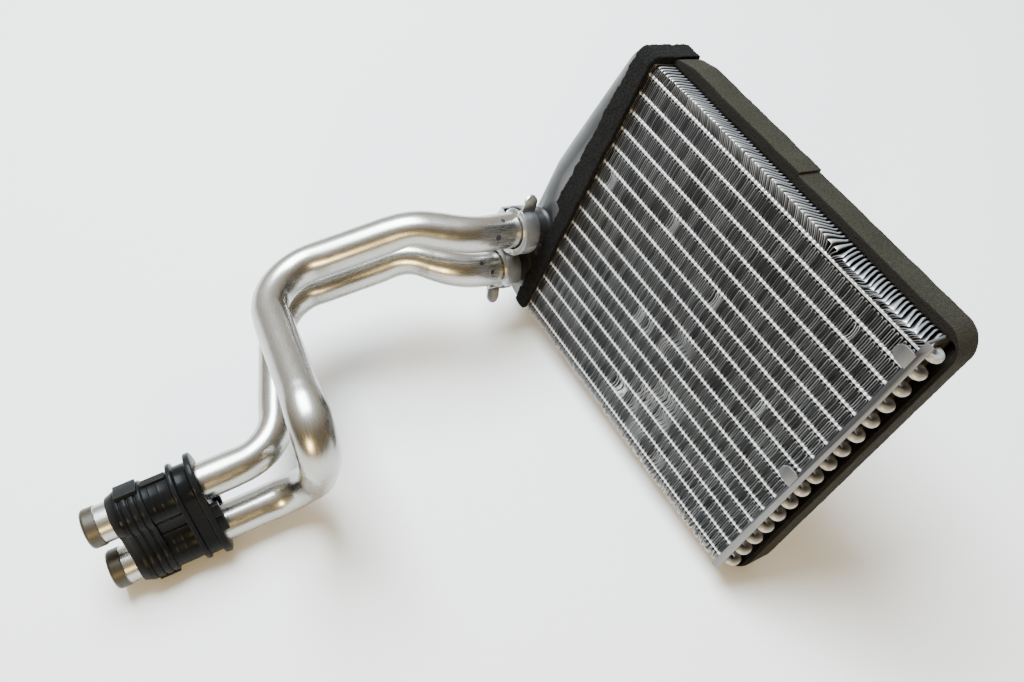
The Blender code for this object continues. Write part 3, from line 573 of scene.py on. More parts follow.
def make_finishes():
    """One procedural material for each finish of the object."""
    made = {}

    work = Finish("fin_aluminium_worn", 0.7)
    cloud, specks, grain = work.tarnish(90.0, 0.6)
    # Painted light and shade: the fin colour at the edges, the near-black inside colour deep in the pack
    # where shade falls between the legs
    base = work.mix(work.attribute("exposed"), look.fin_painted_shade, work.darkened(cloud, look.fin, 0.78))
    made["fin"] = work.done(base, work.between(cloud, 0.28, 0.46), grain, 0.00004, 0.4)

    work = Finish("tube_aluminium_brazed", 0.95)
    cloud, specks, grain = work.tarnish(70.0, 0.64)
    bend = work.attribute("bend")
    bead = work.span(work.attribute("bead"), 0.25, 0.75)
    tube_tone_and_fin_painted_light = work.mix(bend, work.darkened(cloud, look.tube, 0.86), work.darkened(cloud, look.bend, 0.62))
    base = work.over(work.mix(bead, tube_tone_and_fin_painted_light, look.bead), specks, 0.35, darker(look.bend, 0.45))
    dullness = work.math("MAXIMUM", bead, work.math("MULTIPLY", bend, 0.9))
    work.feed(work.shader["Metallic"], work.between(dullness, 0.92, 0.30))
    made["tube"] = work.done(base, work.between(bend, 0.30, 0.40), grain, 0.00012, 0.5)

    for key, tint, size, rough in (
        ("plate", look.plate, 55.0, (0.42, 0.55)),
        ("tank", look.tank, 40.0, (0.34, 0.46)),
    ):
        work = Finish(key + "_aluminium_satin", 0.9)
        cloud, specks, grain = work.tarnish(size, 0.66)
        lines = work.lines(work.place, (900.0, 60.0, 60.0))["Lines"]
        # Painted shade: where a piece marks it (the end plate's channel behind the return bends), a
        # near-black, rough, non-metallic colour
        dirt = work.attribute("dirt")
        base = work.over(work.darkened(cloud, tint, 0.84), lines, 0.25, darker(tint, 0.8))
        base = work.over(base, specks, 0.3, darker(tint, 0.5))
        base = work.mix(work.worn(0.5), base, (0.42, 0.42, 0.42))
        work.feed(work.shader["Metallic"], work.between(dirt, 0.75, 0.0))
        rough = work.math("MAXIMUM", work.between(cloud, *rough), dirt)
        made[key] = work.done(work.mix(dirt, base, (0.02, 0.019, 0.016)), rough, grain, 0.00008, 0.5)

    work = Finish("pipe_aluminium_drawn", 1.0)
    cloud, specks, grain = work.tarnish(38.0, 0.68)
    along = work.add("ShaderNodeUVMap")
    along.uv_map = "along"
    lines = work.lines(along.outputs["UV"], (14.0, 90.0, 1.0))
    coat = work.attribute("coating")
    ink = work.span(work.attribute("ink"), 0.48, 0.53)
    base = work.over(work.darkened(cloud, look.pipe, 0.86), lines["Lines"], 0.12, darker(look.pipe, 0.72))
    base = work.over(base, specks, 0.25, darker(look.pipe, 0.45))
    base = work.mix(coat, base, work.darkened(cloud, look.coating, 0.6))
    rough = work.math("ADD", work.between(lines["Lines"], 0.22, 0.32), work.math("MULTIPLY", coat, 0.15))
    rough = work.math("ADD", rough, work.math("MULTIPLY", ink, 0.3))
    cover = work.math("MAXIMUM", work.math("MULTIPLY", coat, 0.45), ink)
    work.feed(work.shader["Metallic"], work.math("SUBTRACT", 1.0, cover))
    height = work.math("ADD", lines["Height"], work.math("MULTIPLY", grain, 0.4))
    made["pipe"] = work.done(work.mix(ink, base, look.ink), rough, height, 0.00004, 0.2)

    work = Finish("clip_steel_plated", 0.9)
    cloud, specks, grain = work.tarnish(120.0, 0.62)
    base = work.mix(work.worn(1.0), work.darkened(cloud, look.clip, 0.6), (0.75, 0.75, 0.75))
    made["clip"] = work.done(base, work.between(cloud, 0.28, 0.42), grain, 0.00006, 0.4)

    work = Finish("connector_plastic_moulded", 0.0, 0.05)
    cloud, specks, grain = work.tarnish(55.0, 0.66)
    dust = work.over(look.plastic, cloud, 0.5, (0.007, 0.0073, 0.0076))
    base = work.over(dust, specks, 0.25, (0.06, 0.06, 0.058))
    base = work.mix(work.worn(0.35), base, (0.05, 0.05, 0.05))
    made["plastic"] = work.done(base, work.between(cloud, 0.20, 0.34), grain, 0.00005, 0.35)

    work = Finish("seal_rubber_black", 0.0, 0.3)
    cloud, specks, grain = work.tarnish(200.0, 0.6)
    base = work.mix(cloud, look.rubber, (0.035, 0.035, 0.034))
    made["rubber"] = work.done(base, work.between(cloud, 0.6, 0.8))

    for key, tint, cell, lift in (
        ("black_foam", look.black_foam, 900.0, 1.7),
        ("olive_foam", look.olive_foam, 1500.0, 1.35),
    ):
        work = Finish(key + "_cells", 0.0, 0.15)
        cells = work.group("foam_cells", Vector=work.place, Cell=cell)
        base = work.over(work.darkened(cells["Cloud"], tint, lift), cells["Pores"], 0.65, darker(tint, 0.35))
        base = work.mix(work.attribute("shaded"), base, darker(tint, 0.22))
        made[key] = work.done(base, work.between(cells["Pores"], 0.85, 1.0), cells["Height"], 0.0004, 0.8)

    work = Finish("table_top", 0.0, 0.25)
    cloud = work.span(work.noise(work.place, 4.0, 3.0), 0.3, 0.7)
    made["floor"] = work.done(work.darkened(cloud, stage.floor, 0.975), 0.62)
    return made


def material(key):
    if "metal_tarnish" not in bpy.data.node_groups:
        make_groups()
        for label, made in make_finishes().items():
            made["core_finish"] = label
    return next(one for one in bpy.data.materials if one.get("core_finish") == key)


# Fins

# Bent places in the fins: strip, middle along the tubes in mm, half length, kind, strength
BENT_PLACES = (
    (7, -73.1, 3.0, "crush", 0.8),
    (6, -31.7, 3.2, "crush", 0.7),
    (11, -21.0, 3.0, "crush", 0.7),
    (11, -13.5, 2.6, "bow", 0.8),
    (7, 6.4, 3.0, "crush", 0.9),
    (10, 4.5, 8.5, "bow", 1.0),
    (11, -1.0, 4.0, "bow", -0.7),
    (13, 15.0, 11.0, "lean", 0.9),
    (14, 2.5, 3.0, "tangle", 0.7),
    (14, 9.5, 4.5, "tangle", 1.0),
    (14, 19.5, 6.0, "bow", 1.0),
    (15, -8.5, 5.0, "crush", 2.4),
    (15, 3.0, 3.5, "bow", 0.9),
    (16, 12.0, 7.0, "lean", -0.7),
    (16, 30.0, 5.0, "bow", 0.6),
    (9, 52.0, 2.2, "crush", 0.4),
    (3, 60.0, 2.5, "bow", 0.5),
)
# Top of the outer fins at the front: place along the tubes, height above the pack's middle
TOP_FRONT = ((-83, 77.9), (-70, 78.2), (-45, 78.7), (0, 78.9), (30, 78.4), (40, 77.2), (83, 77.3))
# How far the top edge of the outer fins was dragged along the tubes, at the front
TOP_DRAG = (
    (-83, 0.1), (-72, 0.0), (-62, -1.2), (-50, -3.3), (26, -3.6), (31, -2.6), (36, 2.6), (45, 3.3), (83, 3.0))
# Depths behind the front, in mm, at which a strip's line is bent
STATIONS = (0.0, 0.2, 1.3, 3.8, 26.2, 26.4)
TOP_STATIONS = (0.0, 0.2, 1.3, 3.8, 10.0, 26.2, 26.4)
# Depth in mm over which the painted light on a fin's edge fades into painted shade
EDGE_FADE = 0.12
FIN_CLEARANCE = 0.02 * MM
CREST = 0.55 * MM


def serpentine(low, high, legs, run, per_leg, crest_steps):
    """Line of a folded strip: its places along and across, its leg numbers and share of height."""
    half = run / legs / 2
    crest = min(CREST, (high - low) / 4)
    rows = []
    for leg in range(legs):
        x = -run / 2 + (2 * leg + 1) * half
        rising = leg % 2 == 0
        for step in range(per_leg):
            part = step / (per_leg - 1)
            height = part if rising else 1 - part
            rows.append((x, low + crest + (high - low - 2 * crest) * height, leg))
        if leg < legs - 1:
            for step in range(1, crest_steps):
                turn = math.pi * step / crest_steps
                lift = crest * math.sin(turn)
                level = high - crest + lift if rising else low + crest - lift
                rows.append((x + half * (1 - math.cos(turn)), level, leg + step / crest_steps))
    return np.array(rows)


def bent_fins(number, x, level, leg, depth, jitter):
    """Shift along, up and back in mm of a strip's points at one depth behind its front, and the painted glint
    on their bent places.
    """
    mid = np.sin(np.clip(level, 0, 1) * math.pi)
    fade = math.exp(-depth / 3.5)
    waves = 0.15 * wander(x, number, 9.0) * mid * wander(x, number + 40, 31.0)
    along = (0.09 * jitter * mid + waves) * fade
    up = np.zeros_like(x)
    back = (0.08 * np.abs(jitter) + 0.03) * fade
    painted_glint = np.zeros_like(x)
    for strip, centre, half, kind, strength in BENT_PLACES:
        if strip != number:
            continue
        inside = np.clip(1 - ((x - centre) / half) ** 2, 0, 1)
        if kind == "crush":
            near = math.exp(-depth / 1.1)
            along += inside * strength * (0.85 * near + 0.25 * jitter * fade) * (0.35 + 0.65 * mid)
            back += inside * abs(strength) * (0.55 + 0.35 * np.abs(jitter)) * near * mid
            painted_glint += inside * near
        elif kind == "bow":
            along += inside * strength * 1.3 * mid * math.exp(-depth / 4.0)
            painted_glint += 0.5 * inside * math.exp(-depth / 0.5)
        elif kind == "lean":
            along += inside * strength * (1.0 * mid + 0.3 * jitter * mid) * fade
            back += inside * 0.25 * mid * fade
            painted_glint += 0.55 * inside * math.exp(-depth / 0.5)
        else:
            near = math.exp(-depth / 2.2)
            along += inside * strength * near * 1.3 * wander(leg + level * 2.2, 90 + number, 0.9) * mid
            up += inside * strength * near * 1.5 * wander(leg - level * 1.7, 70 + number, 1.1) * mid
            back += inside * strength * near * 2.2 * np.abs(wander(leg, 50 + number, 2.3)) * mid
            painted_glint += 0.8 * inside * math.exp(-depth / 0.9)
    return along, up, back, painted_glint


def dragged_top(x, level, leg, depth, jitter, high):
    """The outer strip above the first tube, whose front edge was dragged along the tubes."""
    to_foam = max(0.0, 1 - depth / 11.5)
    place, drag = np.array(TOP_DRAG).T
    pull = np.interp(x, place, drag)
    right_part = np.clip((x - 33) / 4, 0, 1)
    rise = np.clip(level, 0, 1)
    curl = rise ** (1.0 + 0.5 * right_part)
    along = pull * curl * to_foam ** 1.25
    along += (0.35 + 0.5 * right_part) * jitter * rise * to_foam
    along += right_part * 0.9 * wander(leg + rise * 0.8, 5, 2.6) * np.sin(rise * math.pi) * to_foam
    place, top = np.array(TOP_FRONT).T
    lift = np.interp(x, place, top) - high
    up = lift * rise * to_foam - 0.5 * rise * (1 - to_foam)
    up += (0.12 + 0.3 * right_part) * wander(leg, 9, 1.9) * rise * to_foam
    corner = math.exp(-depth / 1.3)
    up -= (0.9 + 0.5 * right_part * np.abs(jitter)) * corner * rise ** 2
    back = (0.35 * np.abs(jitter) * corner + 0.5 * corner * (1 - right_part)) * rise
    # Painted highlight on the top crest and the front corner of the dragged fins
    crest = np.clip((rise - 0.93) / 0.06, 0, 1) * (0.8 + 0.2 * jitter)
    return along, up, back, crest * (to_foam > 0) + 0.3 * rise * corner


def crushed_bottom(level, leg, depth, jitter):
    """The outer strip below the last tube, whose tips are bent and hooked."""
    fall = np.clip(1 - level, 0, 1)
    fade = math.exp(-depth / 6.0)
    along = (1.1 * jitter + 1.3 * wander(leg, 23, 3.1)) * fall ** 1.4 * fade
    up = (0.7 * np.abs(wander(leg, 29, 2.2)) - 0.2) * fall * fade
    back = 0.7 * np.abs(wander(leg, 31, 4.1)) * fall * fade
    # Painted highlight on the bent and hooked tips near the front
    crest = np.clip((fall - 0.75) / 0.15, 0, 1)
    return along, up, back, crest * fade + 0.9 * fall * math.exp(-depth / 0.7)


def fin_mesh(number):
    """One folded fin strip as a thin closed sheet, with its bent places."""
    half_tube = pack.flat_thickness / 2 + FIN_CLEARANCE
    half_core = core_height() / 2
    high = half_core if number == 1 else row_height(number - 1) - half_tube
    low = -half_core if number > pack.rows else row_height(number) + half_tube
    high -= pack.fin_sheet / 2
    low += pack.fin_sheet / 2
    outer = number in (1, pack.rows + 1)
    x, z, leg = serpentine(low, high, pack.legs, pack.core_length - pack.fin_sheet, 6 if outer else 4, 5).T
    level = (z - low) / (high - low)
    chooser = random.Random(100 + number)
    random_legs = np.array([chooser.uniform(-1, 1) for _ in range(pack.legs + 1)])
    jitter = np.interp(leg, np.arange(len(random_legs)), random_legs)
    spread = random_legs[np.round(leg).astype(int)]
    # Painted highlight on the fold crests at the top and bottom of each leg
    fold = np.clip((np.abs(level - 0.5) - 0.42) / 0.05, 0, 1)
    faces, exposed = [], []
    for depth in TOP_STATIONS if number == 1 else STATIONS:
        if number == 1:
            shifts = dragged_top(x / MM, level, leg, depth, jitter, high / MM)
        elif number > pack.rows:
            shifts = crushed_bottom(level, leg, depth, jitter)
        else:
            shifts = bent_fins(number, x / MM, level, leg, depth, jitter)
        along, up, back, painted_glint = shifts
        across = x + along * MM
        height = z + up * MM
        behind = depth * MM + back * MM - pack.core_depth / 2
        behind = np.minimum(behind, pack.core_depth / 2 - (STATIONS[-1] - depth) * 0.02 * MM)
        run = np.stack([np.gradient(across), np.gradient(height)], 1)
        run /= np.linalg.norm(run, axis=1)[:, None] + 1e-12
        side = np.stack([-run[:, 1], run[:, 0]], 1) * pack.fin_sheet / 2
        edges = [(across + side[:, 0] * sign, behind, height + side[:, 1] * sign) for sign in (1, -1)]
        faces.append([np.stack(edge, 1) for edge in edges])
        # Painted light on the front and back edges, fading into painted shade deep in the pack, plus painted
        # glints on crests and bent places
        edge = math.exp(-depth / EDGE_FADE) + math.exp((depth - STATIONS[-1]) / EDGE_FADE)
        exposed.append(np.clip(edge * (0.33 + 0.27 * spread + 0.5 * fold) + painted_glint, 0, 1))
    ring = [face[0] for face in faces] + [face[1] for face in reversed(faces)]
    tube_tone_and_fin_painted_light = np.array(exposed + exposed[::-1]).T
    return core_grid(f"fins_{number:02d}", np.array(ring).transpose(1, 0, 2), values={"exposed": tube_tone_and_fin_painted_light})


# Tubes

TUBE_SIDES = 14
BEND_STEPS = 18
# Height in mm of a braze bead on a tube's nose
BEAD_HEIGHT = 0.42
# From this place on the nose of the first tube is nearly smooth
PLAIN_NOSE_FROM = 28 * MM
LEG_IN_TANK = 2.6 * MM
BEND_PAST_PLATE = 0.9 * MM
SLOT_ROOM = 0.15 * MM
EAR_RADIUS = 3.5 * MM


def flat_ring(x, y, z, half_width, half_thickness, sides=TUBE_SIDES):
    """A flat section with round edges, across X."""
    around = (np.arange(sides) + 0.5) / sides * 2 * math.pi
    straight = np.copysign(half_width - half_thickness, np.cos(around))
    return np.stack([
        np.full(sides, x),
        y + straight + half_thickness * np.cos(around),
        z + half_thickness * np.sin(around),
    ], 1)


def hairpin_mesh(row):
    """One tube: a flat leg with brazed beads on its nose, its return bend, and the other leg."""
    height = row_height(row)
    half_width = pack.flat_width / 2
    half_flat = pack.flat_thickness / 2
    front, rear = leg_places()
    near = tank_face() - LEG_IN_TANK
    pack_end = pack.core_length / 2
    plate_far = pack_end + GAP + END_SHEET
    beads = pack.legs // 2
    fold = pack.core_length / beads
    chooser = random.Random(300 + row)
    around = (np.arange(TUBE_SIDES) + 0.5) / TUBE_SIDES * 2 * math.pi
    nose = np.clip(-np.cos(around), 0, 1) ** 0.5
    rings = [flat_ring(near, front, height, half_width, half_flat)]
    lumps = [np.zeros(TUBE_SIDES)]
    for bead in range(beads):
        middle = -pack_end + (bead + 0.5) * fold
        plain = row == 1 and middle > PLAIN_NOSE_FROM
        size = chooser.uniform(0.7, 1.2) * (0.15 if plain else 1.0)
        for step, lump in enumerate((0.0, 0.65, 1.0, 0.65)):
            x = middle + (step / 4 - 0.5) * fold
            swell = lump * BEAD_HEIGHT * MM * size
            ring = flat_ring(x, front, height, half_width, half_flat - 0.06 * MM)
            ring[:, 1] -= nose * (swell + (0.10 if plain else 0.02) * MM)
            ring[:, 2] += np.sin(around) * nose * swell * 0.5
            rings.append(ring)
            lumps.append(nose * (0.55 if plain else lump))
    bend = [0.0] * len(rings)
    rings.append(flat_ring(plate_far + 0.1 * MM, front, height, half_width, half_flat))
    steps = BEND_STEPS
    turns = -math.pi / 2 + math.pi * np.arange(steps + 1) / steps
    down = np.sign(np.sin(turns)) * np.abs(np.sin(turns)) ** 0.8
    places = np.stack([np.abs(np.cos(turns)) ** 0.8, down], 1)
    swellings = [chooser.uniform(-0.09, 0.06) * MM for _ in range(6)]
    for step, (place, (ahead_x, ahead_y)) in enumerate(zip(places, directions(places))):
        centre = np.array([plate_far + BEND_PAST_PLATE, (front + rear) / 2, height])
        centre[:2] += place * pack.bend_pitch / 2
        puff = pack.tube_diameter / 2 + np.interp(step / steps * 5, range(6), swellings)
        out = np.outer(-np.cos(around), (ahead_y, -ahead_x, 0)) + np.outer(np.sin(around), (0, 0, 1))
        rings.append(centre + puff * out)
    for x in (plate_far + 0.1 * MM, near):
        ring = flat_ring(x, -rear, height, half_width, half_flat)
        ring[:, 1] *= -1
        rings.append(ring)
    bend += [0.4] + [1.0] * (steps + 1) + [0.4, 0.0]
    lumps += [np.zeros(TUBE_SIDES)] * (len(rings) - len(lumps))
    bend = np.repeat(np.array(bend)[:, None], TUBE_SIDES, 1)
    return core_grid(f"hairpin_{row:02d}", rings, values={"bend": bend, "bead": np.array(lumps)})


def leg_cutters(start, end):
    """Bodies that cut the tube slots in a plate."""
    half_width = pack.flat_width / 2 + SLOT_ROOM
    half_flat = pack.flat_thickness / 2 + SLOT_ROOM
    bm = bmesh.new()
    for row in range(1, pack.rows + 1):
        for y in leg_places():
            rings = [flat_ring(x, y, row_height(row), half_width, half_flat, 12) for x in (start, end)]
            bm.from_mesh(core_grid("slot", rings))
    return from_bmesh("slots", bm)


def end_plate_mesh():
    """Channel with flanges away from the fins and two round ears over the front."""
    near = pack.core_length / 2 + GAP
    far = near + END_SHEET
    flange = near + pack.end_flange
    inner = pack.core_depth / 2 + GAP
    lip = inner + FLANGE_SHEET
    half = core_height() / 2
    outline = ((near, -lip), (flange, -lip), (flange, -inner), (far, -inner),
               (far, inner), (flange, inner), (flange, lip), (near, lip))
    rows = [[(x, y, z) for x, y in outline] for z in (-half, half)]
    base = core_grid("channel", rows)
    tools = []
    for row in EAR_ROWS:
        middle = row_height(row)
        tip = near - pack.ear_length + EAR_RADIUS
        turns = np.linspace(math.pi / 2, 3 * math.pi / 2, 25)
        edge = [(near + FLANGE_SHEET, middle + EAR_RADIUS)]
        edge += [(tip + EAR_RADIUS * math.cos(turn), middle + EAR_RADIUS * math.sin(turn)) for turn in turns]
        edge.append((near + FLANGE_SHEET, middle - EAR_RADIUS))
        rows = [[(x, y, z) for x, z in edge] for y in (-lip - 0.05 * MM, -inner)]
        tools.append((core_grid("ear", rows), "UNION"))
    tools.append((leg_cutters(near - MM, far + MM), "DIFFERENCE"))
    mesh = combine(base, tools, 0.18 * MM)
    back = core_matrix().inverted()
    local = [back @ vertex.co for vertex in mesh.vertices]
    # Painted shade: mark the outer face of the web and the rear flange, the channel behind the return bends
    dirt = [float(place.x > far - 0.1 * MM and place.y > -inner + 0.4 * MM) for place in local]
    add_values(mesh, "dirt", dirt)
    return mesh


# Tank

STUB_FLANGE_DEPTH = 3.6 * MM
SEAL_SEAT_DEPTH = 2.5 * MM
PIPE_BEAD_DEPTH = 2.4 * MM
CLIP_LIP = 9.9 * MM
CLIP_SOFTENING = 0.3 * MM
CLIP_OPENING = math.radians(70)
CLIP_TAIL = 9.0 * MM


def tank_width(height):
    """Width of the tank past the header plate, which narrows towards its upper end."""
    taper = max(0.0, (height - core_height() / 2) / tank.taper_length + 1)
    return tank.width - (tank.width - tank.top_width) * taper


def tank_ring(height, rounding, wall):
    """Outline of the tank in plan at one height."""
    width = tank_width(height) - tank.end_radius * rounding - wall
    half_depth = tank.depth / 2 - 0.8 * MM * rounding - wall
    round_part = min(half_depth, width)
    face = tank_face()
    middle = face - (width - round_part)
    turns = np.linspace(-math.pi / 2, -3 * math.pi / 2, 33)
    rounded = [(middle + round_part * math.cos(turn), half_depth * math.sin(turn), height) for turn in turns]
    return [(face, -half_depth, height), *rounded, (face, half_depth, height)]


def tank_levels(wall):
    half = core_height() / 2 - wall
    rows = [
        (half - tank.end_radius * (1 - math.sin(turn)), 1 - math.cos(turn))
        for turn in np.linspace(0, math.pi / 2, 12)
    ]
    between = [(height, 0.0) for height in np.linspace(-0.9, 0.9, 9) * rows[0][0]]
    return [(-height, rounding) for height, rounding in reversed(rows)] + between + rows


def tank_mesh():
    """Pressed shell, open to the header plate, with two stubs that end in flanges."""
    bm = bmesh.new()
    rims = []
    for wall in (0.0, tank.wall):
        rings = [[bm.verts.new(point) for point in tank_ring(height, rounding, wall)]
                 for height, rounding in tank_levels(wall)]
        for first, second in zip(rings, rings[1:]):
            for index in range(len(first) - 1):
                bm.faces.new((first[index], first[index + 1], second[index + 1], second[index]))
        bm.faces.new(rings[0])
        bm.faces.new(rings[-1])
        rims.append([loop[0] for loop in rings] + [loop[-1] for loop in reversed(rings)])
    count = len(rims[0])
    for index in range(count):
        after = (index + 1) % count
        bm.faces.new((rims[0][index], rims[0][after], rims[1][after], rims[1][index]))
    base = from_bmesh("tank", bm, core_matrix())
    front = pack.core_depth / 2
    wall_top = (tank.depth - pack.core_depth) / 2
    radius = pipes.diameter / 2
    flange = tank.stub_length - STUB_FLANGE_DEPTH
    body = (
        (wall_top - tank.wall / 2, radius + 1.0 * MM), (wall_top + 0.4 * MM, radius + 0.9 * MM),
        (wall_top + 1.3 * MM, radius + 0.2 * MM), (wall_top + 2.0 * MM, radius), (flange - 1.6 * MM, radius),
        (flange - 1.3 * MM, radius + 0.9 * MM), (flange - 0.5 * MM, radius + 0.9 * MM),
        (flange - 0.3 * MM, tank.stub_flange - 0.4 * MM), (flange, tank.stub_flange),
        (tank.stub_length - 0.3 * MM, tank.stub_flange), (tank.stub_length, tank.stub_flange - 0.3 * MM),
    )
    bore = radius - pipes.wall
    seat = tank.stub_length - SEAL_SEAT_DEPTH
    hollow = ((wall_top - 2 * tank.wall, bore), (seat, bore), (seat, pipes.bead_radius),
              (tank.stub_length + MM, pipes.bead_radius))
    tools = []
    matrix = core_matrix()
    for height in joint_heights().values():
        centre = matrix @ Vector((tank_face() - tank.width / 2, -front, height))
        axis = matrix.to_3x3() @ Vector((0, -1, 0))
        tools.append((turned_body(body, centre, axis, (1, 0, 0)), "UNION"))
        tools.append((turned_body(hollow, centre, axis, (1, 0, 0)), "DIFFERENCE"))
    return combine(base, tools)


def clip_mesh(height, opening_at):
    """Channel-section spring clip with a rounded tail beside its opening."""
    sheet = tank.clip_sheet
    joint = -pack.core_depth / 2 - tank.stub_length
    inner = tank.stub_flange + GAP
    outer = inner + sheet
    lip, soft = CLIP_LIP, CLIP_SOFTENING
    near = joint + STUB_FLANGE_DEPTH + GAP
    far = joint - PIPE_BEAD_DEPTH - 2 * GAP
    low, high = far - sheet, near + sheet
    section = (
        (lip, near + soft), (lip + soft, near), (inner, near), (inner, far), (lip + soft, far),
        (lip, far - soft), (lip, low + soft), (lip + soft, low), (outer - 2 * soft, low),
        (outer - soft / 2, low + soft / 2), (outer, low + 2 * soft), (outer, high - 2 * soft),
        (outer - soft / 2, high - soft / 2), (outer - 2 * soft, high), (lip + soft, high), (lip, high - soft),
    )
    centre_x = tank_face() - tank.width / 2
    half = CLIP_OPENING / 2
    rings = [
        [(centre_x + radius * math.cos(turn), y, height + radius * math.sin(turn)) for radius, y in section]
        for turn in np.linspace(opening_at + half, opening_at + 2 * math.pi - half, 73)
    ]
    base = core_grid("clip", rings)

    turn = opening_at - half - sheet / outer
    out = Vector((math.cos(turn), 0, math.sin(turn)))
    along = Vector((-out.z, 0, out.x))
    width = near - far + sheet
    root = Vector((centre_x, far - sheet / 2, height)) + out * (inner + sheet / 2)
    bm = bmesh.new()
    outline = [(0.0, 0.0), (0.0, 1.0)]
    outline += [(1 - 0.45 + 0.45 * math.sin(t), 0.5 + 0.5 * math.cos(t)) for t in np.linspace(0, math.pi, 17)]
    for side in (0.0, -1.0):
        ring = []
        for part, across in outline:
            place = root + out * CLIP_TAIL * part + along * (CLIP_TAIL / 3 * part ** 1.6)
            ring.append(bm.verts.new(place + Vector((0, width * across, 0)) + along * sheet * side))
        bm.faces.new(ring)
    bm.verts.ensure_lookup_table()
    count = len(outline)
    for index in range(count):
        after = (index + 1) % count
        bm.faces.new([bm.verts[corner] for corner in (index, after, count + after, count + index)])
    tail = from_bmesh("tail", bm, core_matrix())
    return combine(base, [(tail, "UNION")], 0.15 * MM)


# Pipes

SMALL_BEND = 29.0 * MM
LARGE_BEND = 25.0 * MM
TIGHT_BEND = 15.4 * MM
ROUTES = {
    "upper": {
        "first": 28.0 * MM, "last": 47.2 * MM, "side": -1,
        "bends": ((-31.5, -107.2, 81.2), (-50.4, -182.5, 68.2), (65.9, -196.6, 103.6)),
        "radii": (SMALL_BEND, SMALL_BEND, LARGE_BEND, TIGHT_BEND, LARGE_BEND),
    },
    "lower": {
        "first": 21.6 * MM, "last": 36.5 * MM, "side": 1,
        "bends": ((-38.5, -109.3, 51.7), (-53.7, -177.1, 41.9)),
        "radii": (SMALL_BEND, SMALL_BEND, LARGE_BEND, LARGE_BEND),
    },
}
PAST_CONNECTOR = 12.0 * MM
PIPE_SIDES = 48
PATH_STEPS = 28
PATH_SPACING = 0.8 * MM
# Ink dots: distance from the joint face, angle round the pipe in degrees, radius
INK_DOTS = {
    "upper": ((13.3, 82.0, 1.5), (18.2, 27.6, 1.7)),
    "lower": ((16.1, 71.8, 1.45), (10.6, 36.0, 1.5)),
}


